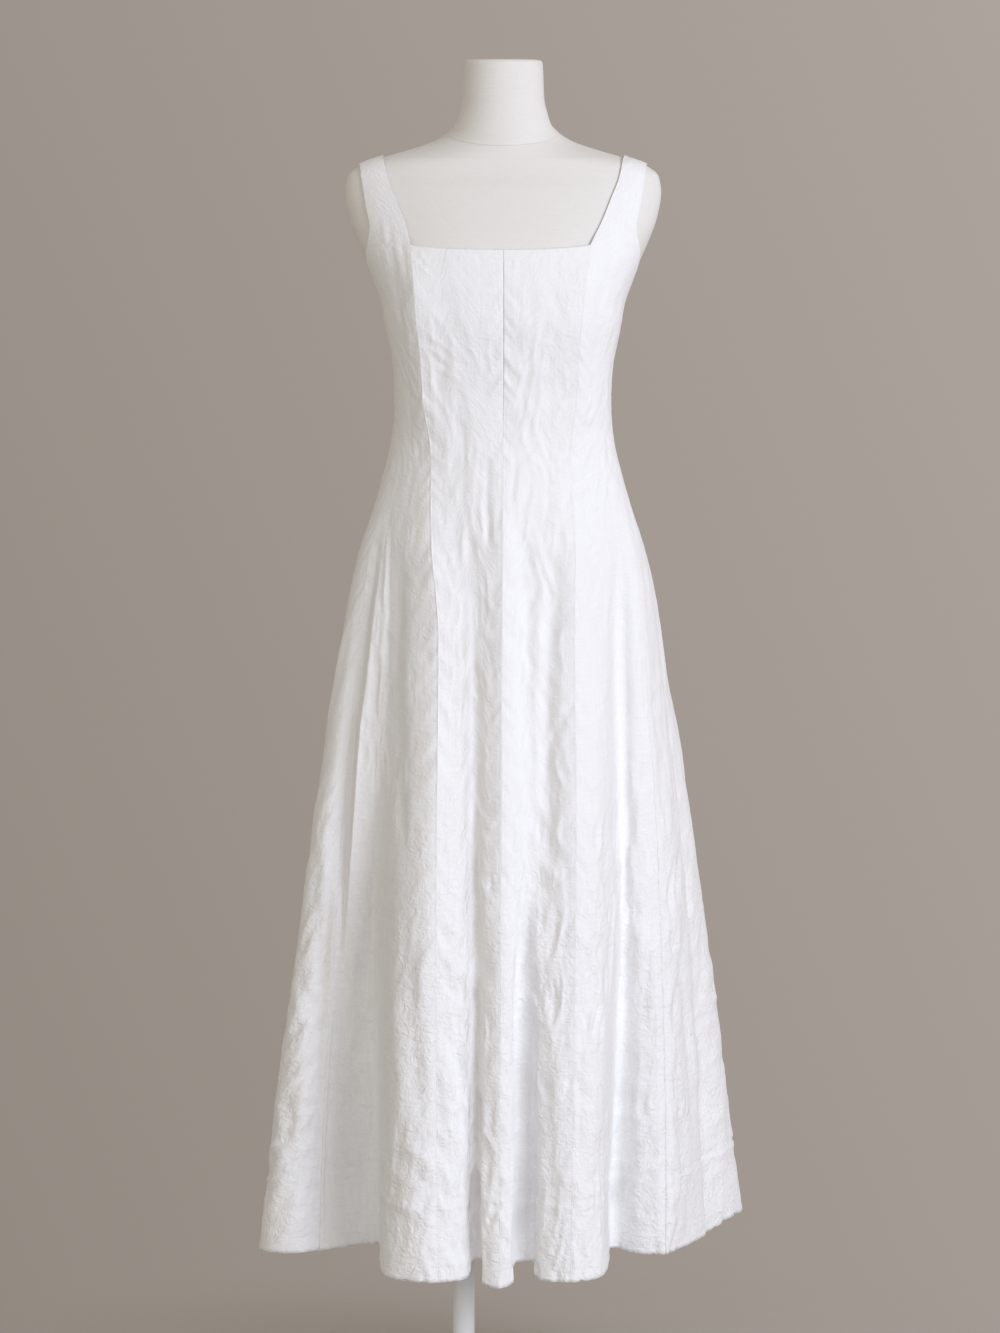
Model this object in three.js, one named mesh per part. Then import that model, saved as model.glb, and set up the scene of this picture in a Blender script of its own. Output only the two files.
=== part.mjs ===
// A white linen sundress with princess seams and wide straps, hung on a limbless dress form.
// Millimetres, +Z up. The front faces -Y, and left and right are the wearer's, so left is +X.
// The origin is the middle of the base's underside.
import * as THREE from 'three';

// Driving sizes of the dress.
const HEM_Z = 180;
const HIP_Z = 1104;
const FOLD_TOP_Z = 1090;
const UNDERARM_Z = 1330;
const FRONT_CORNER_Z = 1368;
const BACK_CORNER_Z = 1396;
const NECKLINE_DIP = 7;
const CLOTH_WALL = 1.5;
const SEAM_GAP = 0.3;
const FOLD_GROWTH = { front: 0.95, side: 1.15 };
const SEAM_STAND = { height: 6, degrees: 15, rise: 60, top: 1385 };

// Driving sizes of the form's stand.
const BASE_RADIUS = 190;
const BASE_THICK = 6;
const BASE_ROUND = 1.5;
const POLE_RADIUS = 13;
const POLE_X = -47;
const FORM_BOTTOM_Z = 900;
const FORM_TOP_Z = 1602;
const SHOULDER_END_Z = 1443;
const NECK_SEAM_Z = 1514;

// Form sections from the bottom up: half width, depth to front and back, how square the front is
// (2 is an ellipse), and the slope of the section's plane towards the front.
const FORM = [
  { z: FORM_BOTTOM_Z, half: 132, front: 86, back: 96, square: 2, lean: 0 },
  { z: 915, half: 148, front: 97, back: 107, square: 2, lean: 0 },
  { z: 960, half: 160, front: 103, back: 115, square: 2, lean: 0 },
  { z: 1014, half: 160, front: 103, back: 113, square: 2, lean: 0 },
  { z: 1074, half: 147, front: 97, back: 101, square: 2, lean: 0 },
  { z: 1134, half: 131, front: 89, back: 88, square: 2.15, lean: 0 },
  { z: 1188, half: 126, front: 90.5, back: 83, square: 2.6, lean: 0 },
  { z: 1224, half: 127.5, front: 97, back: 85, square: 2.8, lean: 0 },
  { z: 1284, half: 138, front: 109, back: 92, square: 2.95, lean: 0 },
  { z: 1312, half: 143, front: 109.5, back: 95, square: 2.85, lean: 0 },
  { z: 1338, half: 153, front: 106, back: 97, square: 2.65, lean: 0 },
  { z: 1376, half: 171, front: 96, back: 95, square: 2.35, lean: 0 },
  { z: 1415, half: 185.5, front: 81, back: 89, square: 2.1, lean: 0.02 },
  { z: 1442, half: 190, front: 70, back: 84, square: 2, lean: 0.05 },
  { z: 1462, half: 187, front: 60, back: 76, square: 2, lean: 0.1 },
  { z: 1474, half: 174, front: 56, back: 70, square: 2, lean: 0.14 },
  { z: 1484, half: 148, front: 54, back: 66, square: 2, lean: 0.18 },
  { z: 1492, half: 118.5, front: 53, back: 63, square: 2, lean: 0.26 },
  { z: 1501, half: 88.5, front: 52, back: 60, square: 2, lean: 0.33 },
  { z: 1509, half: 72.5, front: 51, back: 57, square: 2, lean: 0.4 },
  { z: NECK_SEAM_Z, half: 66, front: 50.5, back: 56, square: 2, lean: 0.45 },
  { z: 1522, half: 59, front: 50, back: 54, square: 2, lean: 0.42 },
  { z: 1536, half: 54, front: 49, back: 51, square: 2, lean: 0.34 },
  { z: 1556, half: 49.6, front: 48.5, back: 48.5, square: 2, lean: 0.25 },
  { z: 1597, half: 47.6, front: 48, back: 46, square: 2, lean: 0.155 },
  { z: 1600.5, half: 46.5, front: 46.5, back: 44.5, square: 2, lean: 0.155 },
  { z: FORM_TOP_Z, half: 43, front: 43, back: 41, square: 2, lean: 0.155 },
];
const TORSO_LEVELS = [
  FORM_BOTTOM_Z, 906, 916, 945, 980, 1020, 1065, 1104, 1146, 1188, 1222, 1254, 1284, 1316, 1346,
  1376, 1405, 1430, 1450, 1463, 1472, 1480, 1487, 1494, 1501, 1508, NECK_SEAM_Z,
];
const NECK_LEVELS = [NECK_SEAM_Z, 1522, 1532, 1544, 1560, 1580, 1597, 1600.5, FORM_TOP_Z];
const FORM_COLUMNS = 48;

// Room between the form and the inside of the cloth.
const EASE = [
  { z: 1044, room: 5 },
  { z: 1104, room: 3 },
  { z: 1140, room: 2.3 },
  { z: 1284, room: 2 },
  { z: 1376, room: 2 },
  { z: 1430, room: 1.4 },
  { z: 1520, room: 1.2 },
];

// The skirt's sections without its folds, below the hip.
const SKIRT = [
  { z: HEM_Z, half: 287, front: 203, back: 230 },
  { z: 354, half: 269.5, front: 190, back: 214 },
  { z: 474, half: 255.5, front: 180, back: 202 },
  { z: 594, half: 240.5, front: 168, back: 187 },
  { z: 714, half: 224, front: 154, back: 170 },
  { z: 834, half: 204.5, front: 138, back: 154 },
  { z: 954, half: 185.5, front: 121, back: 136 },
  { z: 1014, half: 172, front: 112, back: 124 },
  { z: 1074, half: 151.5, front: 101, back: 107 },
  { z: HIP_Z, half: 143.5, front: 97.5, back: 98.5 },
];

// The hem's folds, from the centre front round by the wearer's left: each crest's place and width, the
// way it faces (degrees from the front) and how far the hem is lifted there, then the same of the trough.
const FOLDS = [
  { x: -5, y: -226, face: 0, width: 36, lift: -10, trough: { x: 23, y: -198, width: 14, lift: 14 } },
  { x: 75, y: -228, face: 4, width: 76, lift: -3, trough: { x: 127, y: -88, width: 16, lift: 11 } },
  { x: 190, y: -110, face: 28, width: 58, lift: 8, trough: { x: 243, y: 0, width: 12, lift: 14 } },
  { x: 294, y: 98, face: 105, width: 96, lift: 27, trough: { x: 196, y: 152, width: 26, lift: 13 } },
  { x: 126, y: 258, face: 160, width: 92, lift: 0, trough: { x: 62, y: 146, width: 20, lift: 0 } },
  { x: 0, y: 283, face: 180, width: 62, lift: 0, trough: { x: -62, y: 146, width: 20, lift: 0 } },
  { x: -126, y: 258, face: 200, width: 92, lift: 0, trough: { x: -192, y: 156, width: 26, lift: 0 } },
  { x: -284, y: 112, face: 270, width: 96, lift: 0, trough: { x: -272, y: 30, width: 20, lift: 0 } },
  { x: -253, y: -105, face: 352, width: 70, lift: 8, trough: { x: -150, y: -62, width: 20, lift: 12 } },
  { x: -86, y: -226, face: 360, width: 92, lift: -4, trough: { x: -29, y: -192, width: 12, lift: 16 } },
];
const CREST_ROUND = 0.3;
const SHOULDER_LIFT = 0.15;
const STEPS_IN_FOLD = [0, 1 / 12, 1 / 6, 1 / 4, 1 / 3, 1 / 2, 2 / 3, 3 / 4, 5 / 6, 11 / 12];

// The seams: place along the folds (a whole number is a crest), and angle from the front, in degrees,
// down the skirt and on the form at the hip, waist, bust and top.
const SEAMS = {
  centreFront: { fold: 0, skirt: 0, hip: 0, waist: 0, bust: 0, top: 0 },
  princessLeft: { fold: 1, skirt: 29, hip: 33, waist: 35.5, bust: 32, top: 33 },
  sideLeft: { fold: 2, skirt: 66, hip: 70, waist: 84, bust: 89, top: 90 },
  backLeft: { fold: 4, skirt: 142, hip: 142, waist: 138, bust: 141, top: 141 },
  centreBack: { fold: 5, skirt: 180, hip: 180, waist: 180, bust: 180, top: 180 },
  backRight: { fold: 6, skirt: 218, hip: 218, waist: 222, bust: 219, top: 219 },
  sideRight: { fold: 8 + 1 / 6, skirt: 294, hip: 290, waist: 276, bust: 271, top: 270 },
  princessRight: { fold: 9 + 1 / 24, skirt: 334, hip: 324.5, waist: 320, bust: 323, top: 324 },
  centreFrontAgain: { fold: 10, skirt: 360, hip: 360, waist: 360, bust: 360, top: 360 },
};
const SEAM_HEIGHTS = { skirt: 900, hip: HIP_Z, waist: 1188, bust: 1284, top: FRONT_CORNER_Z };

// The armhole's edge, as degrees short of the side, from the underarm up.
const ARMHOLE = [
  { z: UNDERARM_Z, short: 0 },
  { z: 1337, short: 4.5 },
  { z: 1348, short: 8 },
  { z: 1358, short: 12.5 },
  { z: FRONT_CORNER_Z, short: 18.5 },
  { z: 1380, short: 22.5 },
  { z: BACK_CORNER_Z, short: 26 },
];

// The strap's two edges on the way from its foot to the shoulder seam, as distances from the centre.
const STRAP = [
  { share: 0.15, inner: 115, outer: 156 },
  { share: 0.3, inner: 125, outer: 161 },
  { share: 0.55, inner: 137.5, outer: 166.5 },
  { share: 1, inner: 145, outer: 172 },
];
const STRAP_ROWS = 8;

// Row heights of the panels: the skirt as shares of the way down, and the bodice in millimetres.
const SKIRT_SHARES = [1, 0.86, 0.7, 0.55, 0.41, 0.29, 0.18, 0.08];
const BODICE_LEVELS = [HIP_Z, 1146, 1188, 1222, 1254, 1284, 1307, UNDERARM_Z];
const ARM_LEVELS = [1337, 1346, 1357];
const BACK_ARM_LEVELS = [...ARM_LEVELS, FRONT_CORNER_Z, 1382];

const linen = { color: 0xf1f0ec, roughness: 0.85, metalness: 0 };
const cover = { color: 0xe2dccf, roughness: 0.9, metalness: 0 };
const paint = { color: 0xf0f0ee, roughness: 0.35, metalness: 0 };

// A smooth curve through a table's column, with no overshoot between rows.
function curveThrough(rows, key, value) {
  const span = (i) => rows[i + 1][key] - rows[i][key];
  const rate = (i) => (rows[i + 1][value] - rows[i][value]) / span(i);
  const slopes = rows.map((row, i) => {
    if (i === 0) return rate(0);
    if (i === rows.length - 1) return rate(i - 1);
    const before = rate(i - 1);
    const after = rate(i);
    if (before * after <= 0) return 0;
    const near = 2 * span(i) + span(i - 1);
    const far = span(i) + 2 * span(i - 1);
    return (near + far) / (near / before + far / after);
  });
  return (at) => {
    let i = 0;
    while (i < rows.length - 2 && at > rows[i + 1][key]) i += 1;
    const width = span(i);
    const t = THREE.MathUtils.clamp((at - rows[i][key]) / width, 0, 1);
    const rise = t * t * (3 - 2 * t);
    const leave = t * (1 - t) * (1 - t) * width;
    const arrive = t * t * (t - 1) * width;
    const level = rows[i][value] + (rows[i + 1][value] - rows[i][value]) * rise;
    return level + slopes[i] * leave + slopes[i + 1] * arrive;
  };
}

function curvesOf(rows, key, values) {
  const entries = values.map((value) => [value, curveThrough(rows, key, value)]);
  return Object.fromEntries(entries);
}

const form = curvesOf(FORM, 'z', ['half', 'front', 'back', 'square', 'lean']);
const skirt = curvesOf(SKIRT, 'z', ['half', 'front', 'back']);
const ease = curveThrough(EASE, 'z', 'room');
const armhole = curveThrough(ARMHOLE, 'z', 'short');

// A point of a rounded section, at an angle from the front.
function sectionPoint(degrees, half, front, back, square) {
  const angle = THREE.MathUtils.degToRad(degrees);
  const side = Math.sin(angle);
  const ahead = Math.cos(angle);
  const power = ahead > 0 ? 2 / square : 1;
  const depth = ahead > 0 ? front : back;
  const x = half * Math.sign(side) * Math.abs(side) ** power;
  const y = -depth * Math.sign(ahead) * Math.abs(ahead) ** power;
  return new THREE.Vector3(x, y, 0);
}

function formPoint(degrees, z) {
  const half = form.half(z);
  const point = sectionPoint(degrees, half, form.front(z), form.back(z), form.square(z));
  point.z = z + form.lean(z) * point.y;
  return point;
}

// The outward direction of a surface given by two running values, the first going round to the left.
function outward(surface, u, v, stepU, stepV) {
  const along = surface(u + stepU, v).sub(surface(u - stepU, v));
  const up = surface(u, v + stepV).sub(surface(u, v - stepV));
  return along.cross(up).normalize();
}

// How far the princess seams stand off the form, so that the front is flat between them.
function seamStand(degrees, z) {
  const { height, degrees: reach, rise, top } = SEAM_STAND;
  const fromHip = THREE.MathUtils.clamp((z - HIP_Z) / rise, 0, 1);
  const toTop = THREE.MathUtils.clamp((top - z) / rise, 0, 1);
  const near = [SEAMS.princessLeft, SEAMS.princessRight].map((seam) => {
    const away = Math.abs(degrees - seamAngle(seam, z)) / reach;
    return Math.max(0, 1 - away) ** 1.2;
  });
  return height * fromHip * toTop * Math.max(...near);
}

// The two faces of the fitted cloth over the form.
function fittedCloth(degrees, z) {
  const probe = 0.4;
  const normal = outward(formPoint, degrees, z, probe, probe);
  const room = ease(z) + seamStand(degrees, z);
  const inner = formPoint(degrees, z).addScaledVector(normal, room);
  const outer = inner.clone().addScaledVector(normal, CLOTH_WALL);
  return { outer, inner };
}

// The hem line: crest and trough of each fold joined by one closed curve.
function hemCurve() {
  const points = [];
  FOLDS.forEach((fold, i) => {
    const before = FOLDS[(i + FOLDS.length - 1) % FOLDS.length].trough;
    const after = FOLDS[(i + 1) % FOLDS.length];
    const face = THREE.MathUtils.degToRad(fold.face);
    const acrossCrest = new THREE.Vector3(Math.cos(face), Math.sin(face), 0);
    const acrossTrough = new THREE.Vector3(after.x - fold.x, after.y - fold.y, 0).normalize();
    points.push(...roundedEnd(fold, acrossCrest, before.lift, fold.trough.lift, 1));
    points.push(...roundedEnd(fold.trough, acrossTrough, fold.lift, after.lift, -1));
  });
  // The first point is the shoulder before the first crest, so the list starts one step early.
  points.push(points.shift());
  return new THREE.CatmullRomCurve3(points, true, 'centripetal');
}

// A fold's tip with a shoulder on each side, set back and part of the way to the next lift, so the
// tip is round.
function roundedEnd({ x, y, width, lift }, across, liftBefore, liftAfter, outwardSign) {
  const tip = new THREE.Vector3(x, y, HEM_Z + lift);
  const back = new THREE.Vector3(-across.y, across.x, 0);
  back.multiplyScalar(CREST_ROUND * width * outwardSign);
  const first = tip.clone().addScaledVector(across, -width / 2).add(back);
  const last = tip.clone().addScaledVector(across, width / 2).add(back);
  first.z += SHOULDER_LIFT * (liftBefore - lift);
  last.z += SHOULDER_LIFT * (liftAfter - lift);
  return [first, tip, last];
}

const hem = hemCurve();

function hemPoint(fold) {
  const turn = fold / FOLDS.length;
  return hem.getPoint(turn - Math.floor(turn));
}

function seamAngle(seam, z) {
  const rows = Object.keys(SEAM_HEIGHTS).map((key) => ({ z: SEAM_HEIGHTS[key], angle: seam[key] }));
  rows.unshift({ z: HEM_Z, angle: seam.skirt });
  return curveThrough(rows, 'z', 'angle')(z);
}

// A panel lies between two seams; its columns follow the folds of the hem.
function makePanel(from, to) {
  const near = 0.05;
  const folds = [from.fold];
  for (let whole = Math.floor(from.fold); whole <= to.fold; whole += 1) {
    for (const step of STEPS_IN_FOLD) {
      const fold = whole + step;
      if (fold > from.fold + near && fold < to.fold - near) folds.push(fold);
    }
  }
  folds.push(to.fold);
  const lengths = [0];
  const samples = 24;
  folds.slice(1).forEach((fold, i) => {
    let length = lengths[i];
    for (let k = 0; k < samples; k += 1) {
      const a = folds[i] + ((fold - folds[i]) * k) / samples;
      const b = folds[i] + ((fold - folds[i]) * (k + 1)) / samples;
      length += hemPoint(a).distanceTo(hemPoint(b));
    }
    lengths.push(length);
  });
  const total = lengths[lengths.length - 1];
  const columns = folds.map((fold, i) => ({ fold, share: lengths[i] / total }));
  return { from, to, columns, shareAt: curveThrough(columns, 'fold', 'share') };
}

function panelAngle(panel, share, z) {
  const from = seamAngle(panel.from, z);
  const to = seamAngle(panel.to, z);
  return from + (to - from) * share;
}

function skirtSection(degrees, z) {
  return sectionPoint(degrees, skirt.half(z), skirt.front(z), skirt.back(z), 2);
}

// The outside of the skirt: the smooth section plus the part of the hem's fold grown at this height.
function skirtPoint(panel, fold, down) {
  const tip = hemPoint(fold);
  const z = HIP_Z + (tip.z - HIP_Z) * down;
  const share = panel.shareAt(fold);
  const degrees = panelAngle(panel, share, z);
  const point = skirtSection(degrees, z);
  const foldShare = Math.max(0, (FOLD_TOP_Z - z) / (FOLD_TOP_Z - tip.z));
  const hemDegrees = panelAngle(panel, share, HEM_Z);
  const swing = tip.clone().sub(skirtSection(hemDegrees, HEM_Z)).setZ(0);
  const ahead = Math.max(0, Math.cos(THREE.MathUtils.degToRad(hemDegrees)));
  const growth = FOLD_GROWTH.side + (FOLD_GROWTH.front - FOLD_GROWTH.side) * ahead ** 4;
  point.addScaledVector(swing, foldShare ** growth);
  point.z = z;
  return point;
}

function skirtCloth(panel, fold, down) {
  const surface = (u, v) => skirtPoint(panel, u, -v);
  const alongHem = 0.01;
  const upward = 0.004;
  const normal = outward(surface, fold, -down, alongHem, upward);
  const outer = skirtPoint(panel, fold, down);
  const inner = outer.clone().addScaledVector(normal, -CLOTH_WALL);
  return { outer, inner };
}

// Rows of cloth from the hem to the hip.
function skirtRows(panel) {
  return SKIRT_SHARES.map((down) => panel.columns.map(({ fold }) => skirtCloth(panel, fold, down)));
}

// Rows of the bodice between two seams, at the same heights all the way across.
function bodiceRows(panel, levels) {
  return levels.map((z) =>
    panel.columns.map(({ share }) => fittedCloth(panelAngle(panel, share, z), z)),
  );
}

// Rows of a centre panel above the bust, whose top edge dips towards the centre seam.
function necklineRows(panel, levels, dip, centreShare) {
  const lowest = BODICE_LEVELS[BODICE_LEVELS.length - 1];
  const top = levels[levels.length - 1];
  return levels.map((level) =>
    panel.columns.map(({ share }) => {
      const toCentre = Math.abs(share - (1 - centreShare));
      const sag = dip * (1 - (1 - toCentre) ** 2) * ((level - lowest) / (top - lowest));
      return fittedCloth(panelAngle(panel, share, level), level - sag);
    }),
  );
}

// Rows of a side panel beside the armhole; the armhole is at the end given by armShare.
function armholeRows(panel, levels, armShare) {
  return levels.map((z) => {
    const seam = armShare === 1 ? panel.from : panel.to;
    const side = (armShare === 1 ? panel.to : panel.from).top;
    const seamDegrees = seamAngle(seam, z);
    const edge = side + armhole(z) * Math.sign(seamDegrees - side);
    return panel.columns.map(({ share }) => {
      const toArm = armShare === 1 ? share : 1 - share;
      return fittedCloth(seamDegrees + (edge - seamDegrees) * toArm, z);
    });
  });
}

// Height of the shoulder's ridge at a distance from the centre line.
function ridgeHeight(x) {
  let low = SHOULDER_END_Z;
  let high = NECK_SEAM_Z;
  for (let i = 0; i < 40; i += 1) {
    const middle = (low + high) / 2;
    if (form.half(middle) > x) low = middle;
    else high = middle;
  }
  return low;
}

// Rows of a strap from its foot up to the shoulder seam.
function strapRows(panel, cornerZ, armShare) {
  const front = panel.from.top < 90 || panel.to.top > 270;
  const middle = panel.from.top + panel.to.top;
  const sideSign = middle < 360 ? 1 : -1;
  const power = (z) => (front ? form.square(z) : 2) / 2;
  const degreesAt = (x, z) => {
    const side = Math.min(1, x / form.half(z)) ** power(z);
    const acute = THREE.MathUtils.radToDeg(Math.asin(side));
    const turned = front ? acute : 180 - acute;
    return sideSign > 0 ? turned : 360 - turned;
  };
  const seam = armShare === 1 ? panel.from : panel.to;
  const side = (armShare === 1 ? panel.to : panel.from).top;
  const footInner = seamAngle(seam, cornerZ);
  const footOuter = side + armhole(cornerZ) * Math.sign(footInner - side);
  const foot = {
    share: 0,
    inner: Math.abs(formPoint(footInner, cornerZ).x),
    outer: Math.abs(formPoint(footOuter, cornerZ).x),
  };
  const edges = curvesOf([foot, ...STRAP], 'share', ['inner', 'outer']);
  const rows = [];
  for (let row = 0; row <= STRAP_ROWS; row += 1) {
    const rise = row / STRAP_ROWS;
    rows.push(
      panel.columns.map(({ share }) => {
        const toArm = armShare === 1 ? share : 1 - share;
        const x = THREE.MathUtils.lerp(edges.inner(rise), edges.outer(rise), toArm);
        const top = ridgeHeight(x);
        const z = cornerZ + (top - cornerZ) * Math.sin((rise * Math.PI) / 2);
        return fittedCloth(degreesAt(x, z), z);
      }),
    );
  }
  return rows;
}

// Draws the two end columns of a panel back from its seams, and its last row back from a shoulder seam.
function leaveSeamGaps(rows, atShoulder) {
  const draw = (end, next) => {
    const shift = next.outer.clone().sub(end.outer).setLength(SEAM_GAP / 2);
    return { outer: end.outer.clone().add(shift), inner: end.inner.clone().add(shift) };
  };
  const made = rows.map((row) => {
    const last = row.length - 1;
    const first = draw(row[0], row[1]);
    const final = draw(row[last], row[last - 1]);
    return [first, ...row.slice(1, last), final];
  });
  if (atShoulder) {
    const top = made.length - 1;
    made[top] = made[top].map((end, i) => draw(end, made[top - 1][i]));
  }
  return made;
}

// A closed wall from rows of paired outer and inner points.
function wallGeometry(rows) {
  const across = rows[0].length;
  const up = rows.length;
  const positions = [];
  for (const face of ['outer', 'inner']) {
    for (const row of rows) {
      for (const pair of row) positions.push(pair[face].x, pair[face].y, pair[face].z);
    }
  }
  const outer = (i, j) => j * across + i;
  const inner = (i, j) => up * across + j * across + i;
  const index = [];
  const quad = (a, b, c, d) => index.push(a, b, c, a, c, d);
  for (let j = 0; j + 1 < up; j += 1) {
    for (let i = 0; i + 1 < across; i += 1) {
      quad(outer(i, j), outer(i + 1, j), outer(i + 1, j + 1), outer(i, j + 1));
      quad(inner(i, j), inner(i, j + 1), inner(i + 1, j + 1), inner(i + 1, j));
    }
    quad(outer(0, j), outer(0, j + 1), inner(0, j + 1), inner(0, j));
    const end = across - 1;
    quad(outer(end, j), inner(end, j), inner(end, j + 1), outer(end, j + 1));
  }
  const top = up - 1;
  for (let i = 0; i + 1 < across; i += 1) {
    quad(outer(i, 0), inner(i, 0), inner(i + 1, 0), outer(i + 1, 0));
    quad(outer(i, top), outer(i + 1, top), inner(i + 1, top), inner(i, top));
  }
  const geometry = new THREE.BufferGeometry();
  geometry.setAttribute('position', new THREE.Float32BufferAttribute(positions, 3));
  geometry.setIndex(index);
  return geometry;
}

// A closed body from form sections at the given heights, with a flat top and bottom.
function formGeometry(levels, raise) {
  const positions = [];
  const lift = levels.map((_, i) => (i === 0 ? raise : 0));
  levels.forEach((z, j) => {
    for (let i = 0; i < FORM_COLUMNS; i += 1) {
      const point = formPoint((360 * i) / FORM_COLUMNS, z);
      positions.push(point.x, point.y, point.z + lift[j]);
    }
  });
  const ends = [levels[0], levels[levels.length - 1]];
  ends.forEach((z, k) => positions.push(0, 0, z + (k === 0 ? raise : 0)));
  const at = (i, j) => j * FORM_COLUMNS + (i % FORM_COLUMNS);
  const bottom = levels.length * FORM_COLUMNS;
  const top = bottom + 1;
  const last = levels.length - 1;
  const index = [];
  for (let i = 0; i < FORM_COLUMNS; i += 1) {
    for (let j = 0; j < last; j += 1) {
      index.push(at(i, j), at(i + 1, j), at(i + 1, j + 1));
      index.push(at(i, j), at(i + 1, j + 1), at(i, j + 1));
    }
    index.push(bottom, at(i + 1, 0), at(i, 0));
    index.push(top, at(i, last), at(i + 1, last));
  }
  const geometry = new THREE.BufferGeometry();
  geometry.setAttribute('position', new THREE.Float32BufferAttribute(positions, 3));
  geometry.setIndex(index);
  return geometry;
}

function baseGeometry() {
  const edge = BASE_RADIUS - BASE_ROUND;
  const profile = [
    new THREE.Vector2(0, 0),
    new THREE.Vector2(edge, 0),
    new THREE.Vector2(BASE_RADIUS, BASE_ROUND),
    new THREE.Vector2(BASE_RADIUS, BASE_THICK - BASE_ROUND),
    new THREE.Vector2(edge, BASE_THICK),
    new THREE.Vector2(0, BASE_THICK),
  ];
  return new THREE.LatheGeometry(profile, 64).rotateX(Math.PI / 2);
}

function poleGeometry() {
  const foot = BASE_THICK + SEAM_GAP;
  const head = FORM_BOTTOM_Z - SEAM_GAP;
  const geometry = new THREE.CylinderGeometry(POLE_RADIUS, POLE_RADIUS, head - foot, 32);
  return geometry.rotateX(Math.PI / 2).translate(POLE_X, 0, (head + foot) / 2);
}

const garment = new THREE.Group();

function addPiece(name, geometry, material) {
  const mesh = new THREE.Mesh(geometry, new THREE.MeshStandardMaterial(material));
  mesh.name = name;
  garment.add(mesh);
}

function addCentrePanel(name, from, to, levels, dip, centreShare) {
  const panel = makePanel(SEAMS[from], SEAMS[to]);
  const rows = [
    ...skirtRows(panel),
    ...bodiceRows(panel, BODICE_LEVELS),
    ...necklineRows(panel, levels, dip, centreShare),
  ];
  addPiece(name, wallGeometry(leaveSeamGaps(rows, false)), linen);
}

function addSidePanel(name, from, to, levels, cornerZ, armShare) {
  const panel = makePanel(SEAMS[from], SEAMS[to]);
  const rows = [
    ...skirtRows(panel),
    ...bodiceRows(panel, BODICE_LEVELS),
    ...armholeRows(panel, levels, armShare),
    ...strapRows(panel, cornerZ, armShare),
  ];
  addPiece(name, wallGeometry(leaveSeamGaps(rows, true)), linen);
}

const frontTop = [...ARM_LEVELS, FRONT_CORNER_Z];
const backTop = [...BACK_ARM_LEVELS, BACK_CORNER_Z];
addCentrePanel('centre_front_left', 'centreFront', 'princessLeft', frontTop, NECKLINE_DIP, 0);
addSidePanel('side_front_left', 'princessLeft', 'sideLeft', ARM_LEVELS, FRONT_CORNER_Z, 1);
addSidePanel('side_back_left', 'sideLeft', 'backLeft', BACK_ARM_LEVELS, BACK_CORNER_Z, 0);
addCentrePanel('centre_back_left', 'backLeft', 'centreBack', backTop, 0, 1);
addCentrePanel('centre_back_right', 'centreBack', 'backRight', backTop, 0, 0);
addSidePanel('side_back_right', 'backRight', 'sideRight', BACK_ARM_LEVELS, BACK_CORNER_Z, 1);
addSidePanel('side_front_right', 'sideRight', 'princessRight', ARM_LEVELS, FRONT_CORNER_Z, 0);
addCentrePanel('centre_front_right', 'princessRight', 'centreFrontAgain', frontTop, NECKLINE_DIP, 1);

addPiece('form_torso', formGeometry(TORSO_LEVELS, 0), cover);
addPiece('form_neck', formGeometry(NECK_LEVELS, SEAM_GAP), cover);
addPiece('form_pole', poleGeometry(), paint);
addPiece('form_base', baseGeometry(), paint);

export default garment;
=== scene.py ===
# %% [markdown]
# # A linen sundress on a dress form
# The dress is cut from eight gores that run from the neckline to the hem, so this script makes each gore
# as one fine sheet: first its smooth drape, then the creases and seams, then its thickness and stitches.
# All tables are in millimetres, with +Z up and the front towards -Y. Left is the wearer's left, +X.

import bmesh
import bpy
import numpy as np
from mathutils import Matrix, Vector


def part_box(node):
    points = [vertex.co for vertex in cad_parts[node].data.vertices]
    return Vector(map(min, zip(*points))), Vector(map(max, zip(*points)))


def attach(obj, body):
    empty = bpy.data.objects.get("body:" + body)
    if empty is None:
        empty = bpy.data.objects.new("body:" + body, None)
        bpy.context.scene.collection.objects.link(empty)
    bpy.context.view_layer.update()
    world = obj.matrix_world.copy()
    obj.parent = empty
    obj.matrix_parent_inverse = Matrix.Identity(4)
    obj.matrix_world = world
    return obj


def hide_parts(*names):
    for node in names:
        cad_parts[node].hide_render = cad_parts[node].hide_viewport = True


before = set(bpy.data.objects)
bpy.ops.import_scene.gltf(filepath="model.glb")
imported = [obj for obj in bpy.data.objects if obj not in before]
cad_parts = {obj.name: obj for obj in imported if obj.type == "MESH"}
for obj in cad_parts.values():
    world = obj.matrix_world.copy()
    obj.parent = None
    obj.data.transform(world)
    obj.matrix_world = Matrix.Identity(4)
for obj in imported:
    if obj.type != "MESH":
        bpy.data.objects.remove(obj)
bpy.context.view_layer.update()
MM = 0.001


# %% [markdown]
# ## Sizes
# A maker works from a list of measures. These are the driving tables of the CAD model once more, so that the
# fine cloth lies where the solids are. The solids' own meshes could be divided instead, but their few faces
# would show through. Each table keeps its columns by name, with a row for each height, fold or crease.

# %% Heights
def table(names, *rows):
    values = np.array(rows, float).T
    return dict(zip(names.split(), values))


HEM_Z, HIP_Z, FOLD_TOP_Z, UNDERARM_Z = 180.0, 1104.0, 1090.0, 1330.0
FRONT_CORNER_Z, BACK_CORNER_Z, NECKLINE_DIP = 1368.0, 1396.0, 7.0
FORM_BOTTOM_Z, SHOULDER_END_Z, NECK_SEAM_Z, FORM_TOP_Z = 900.0, 1443.0, 1514.0, 1602.0
print("hem to neckline corner", FRONT_CORNER_Z - HEM_Z, "mm")

# %% [markdown]
# ## Measures of the dress form
# The form is a padded body whose girth changes with height. Each row is one level section: half its width, its
# depth to the front and back, how square its front is, and how much the cut leans at the shoulders and neck.
# The ease is the room that the maker leaves between body and cloth.

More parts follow.
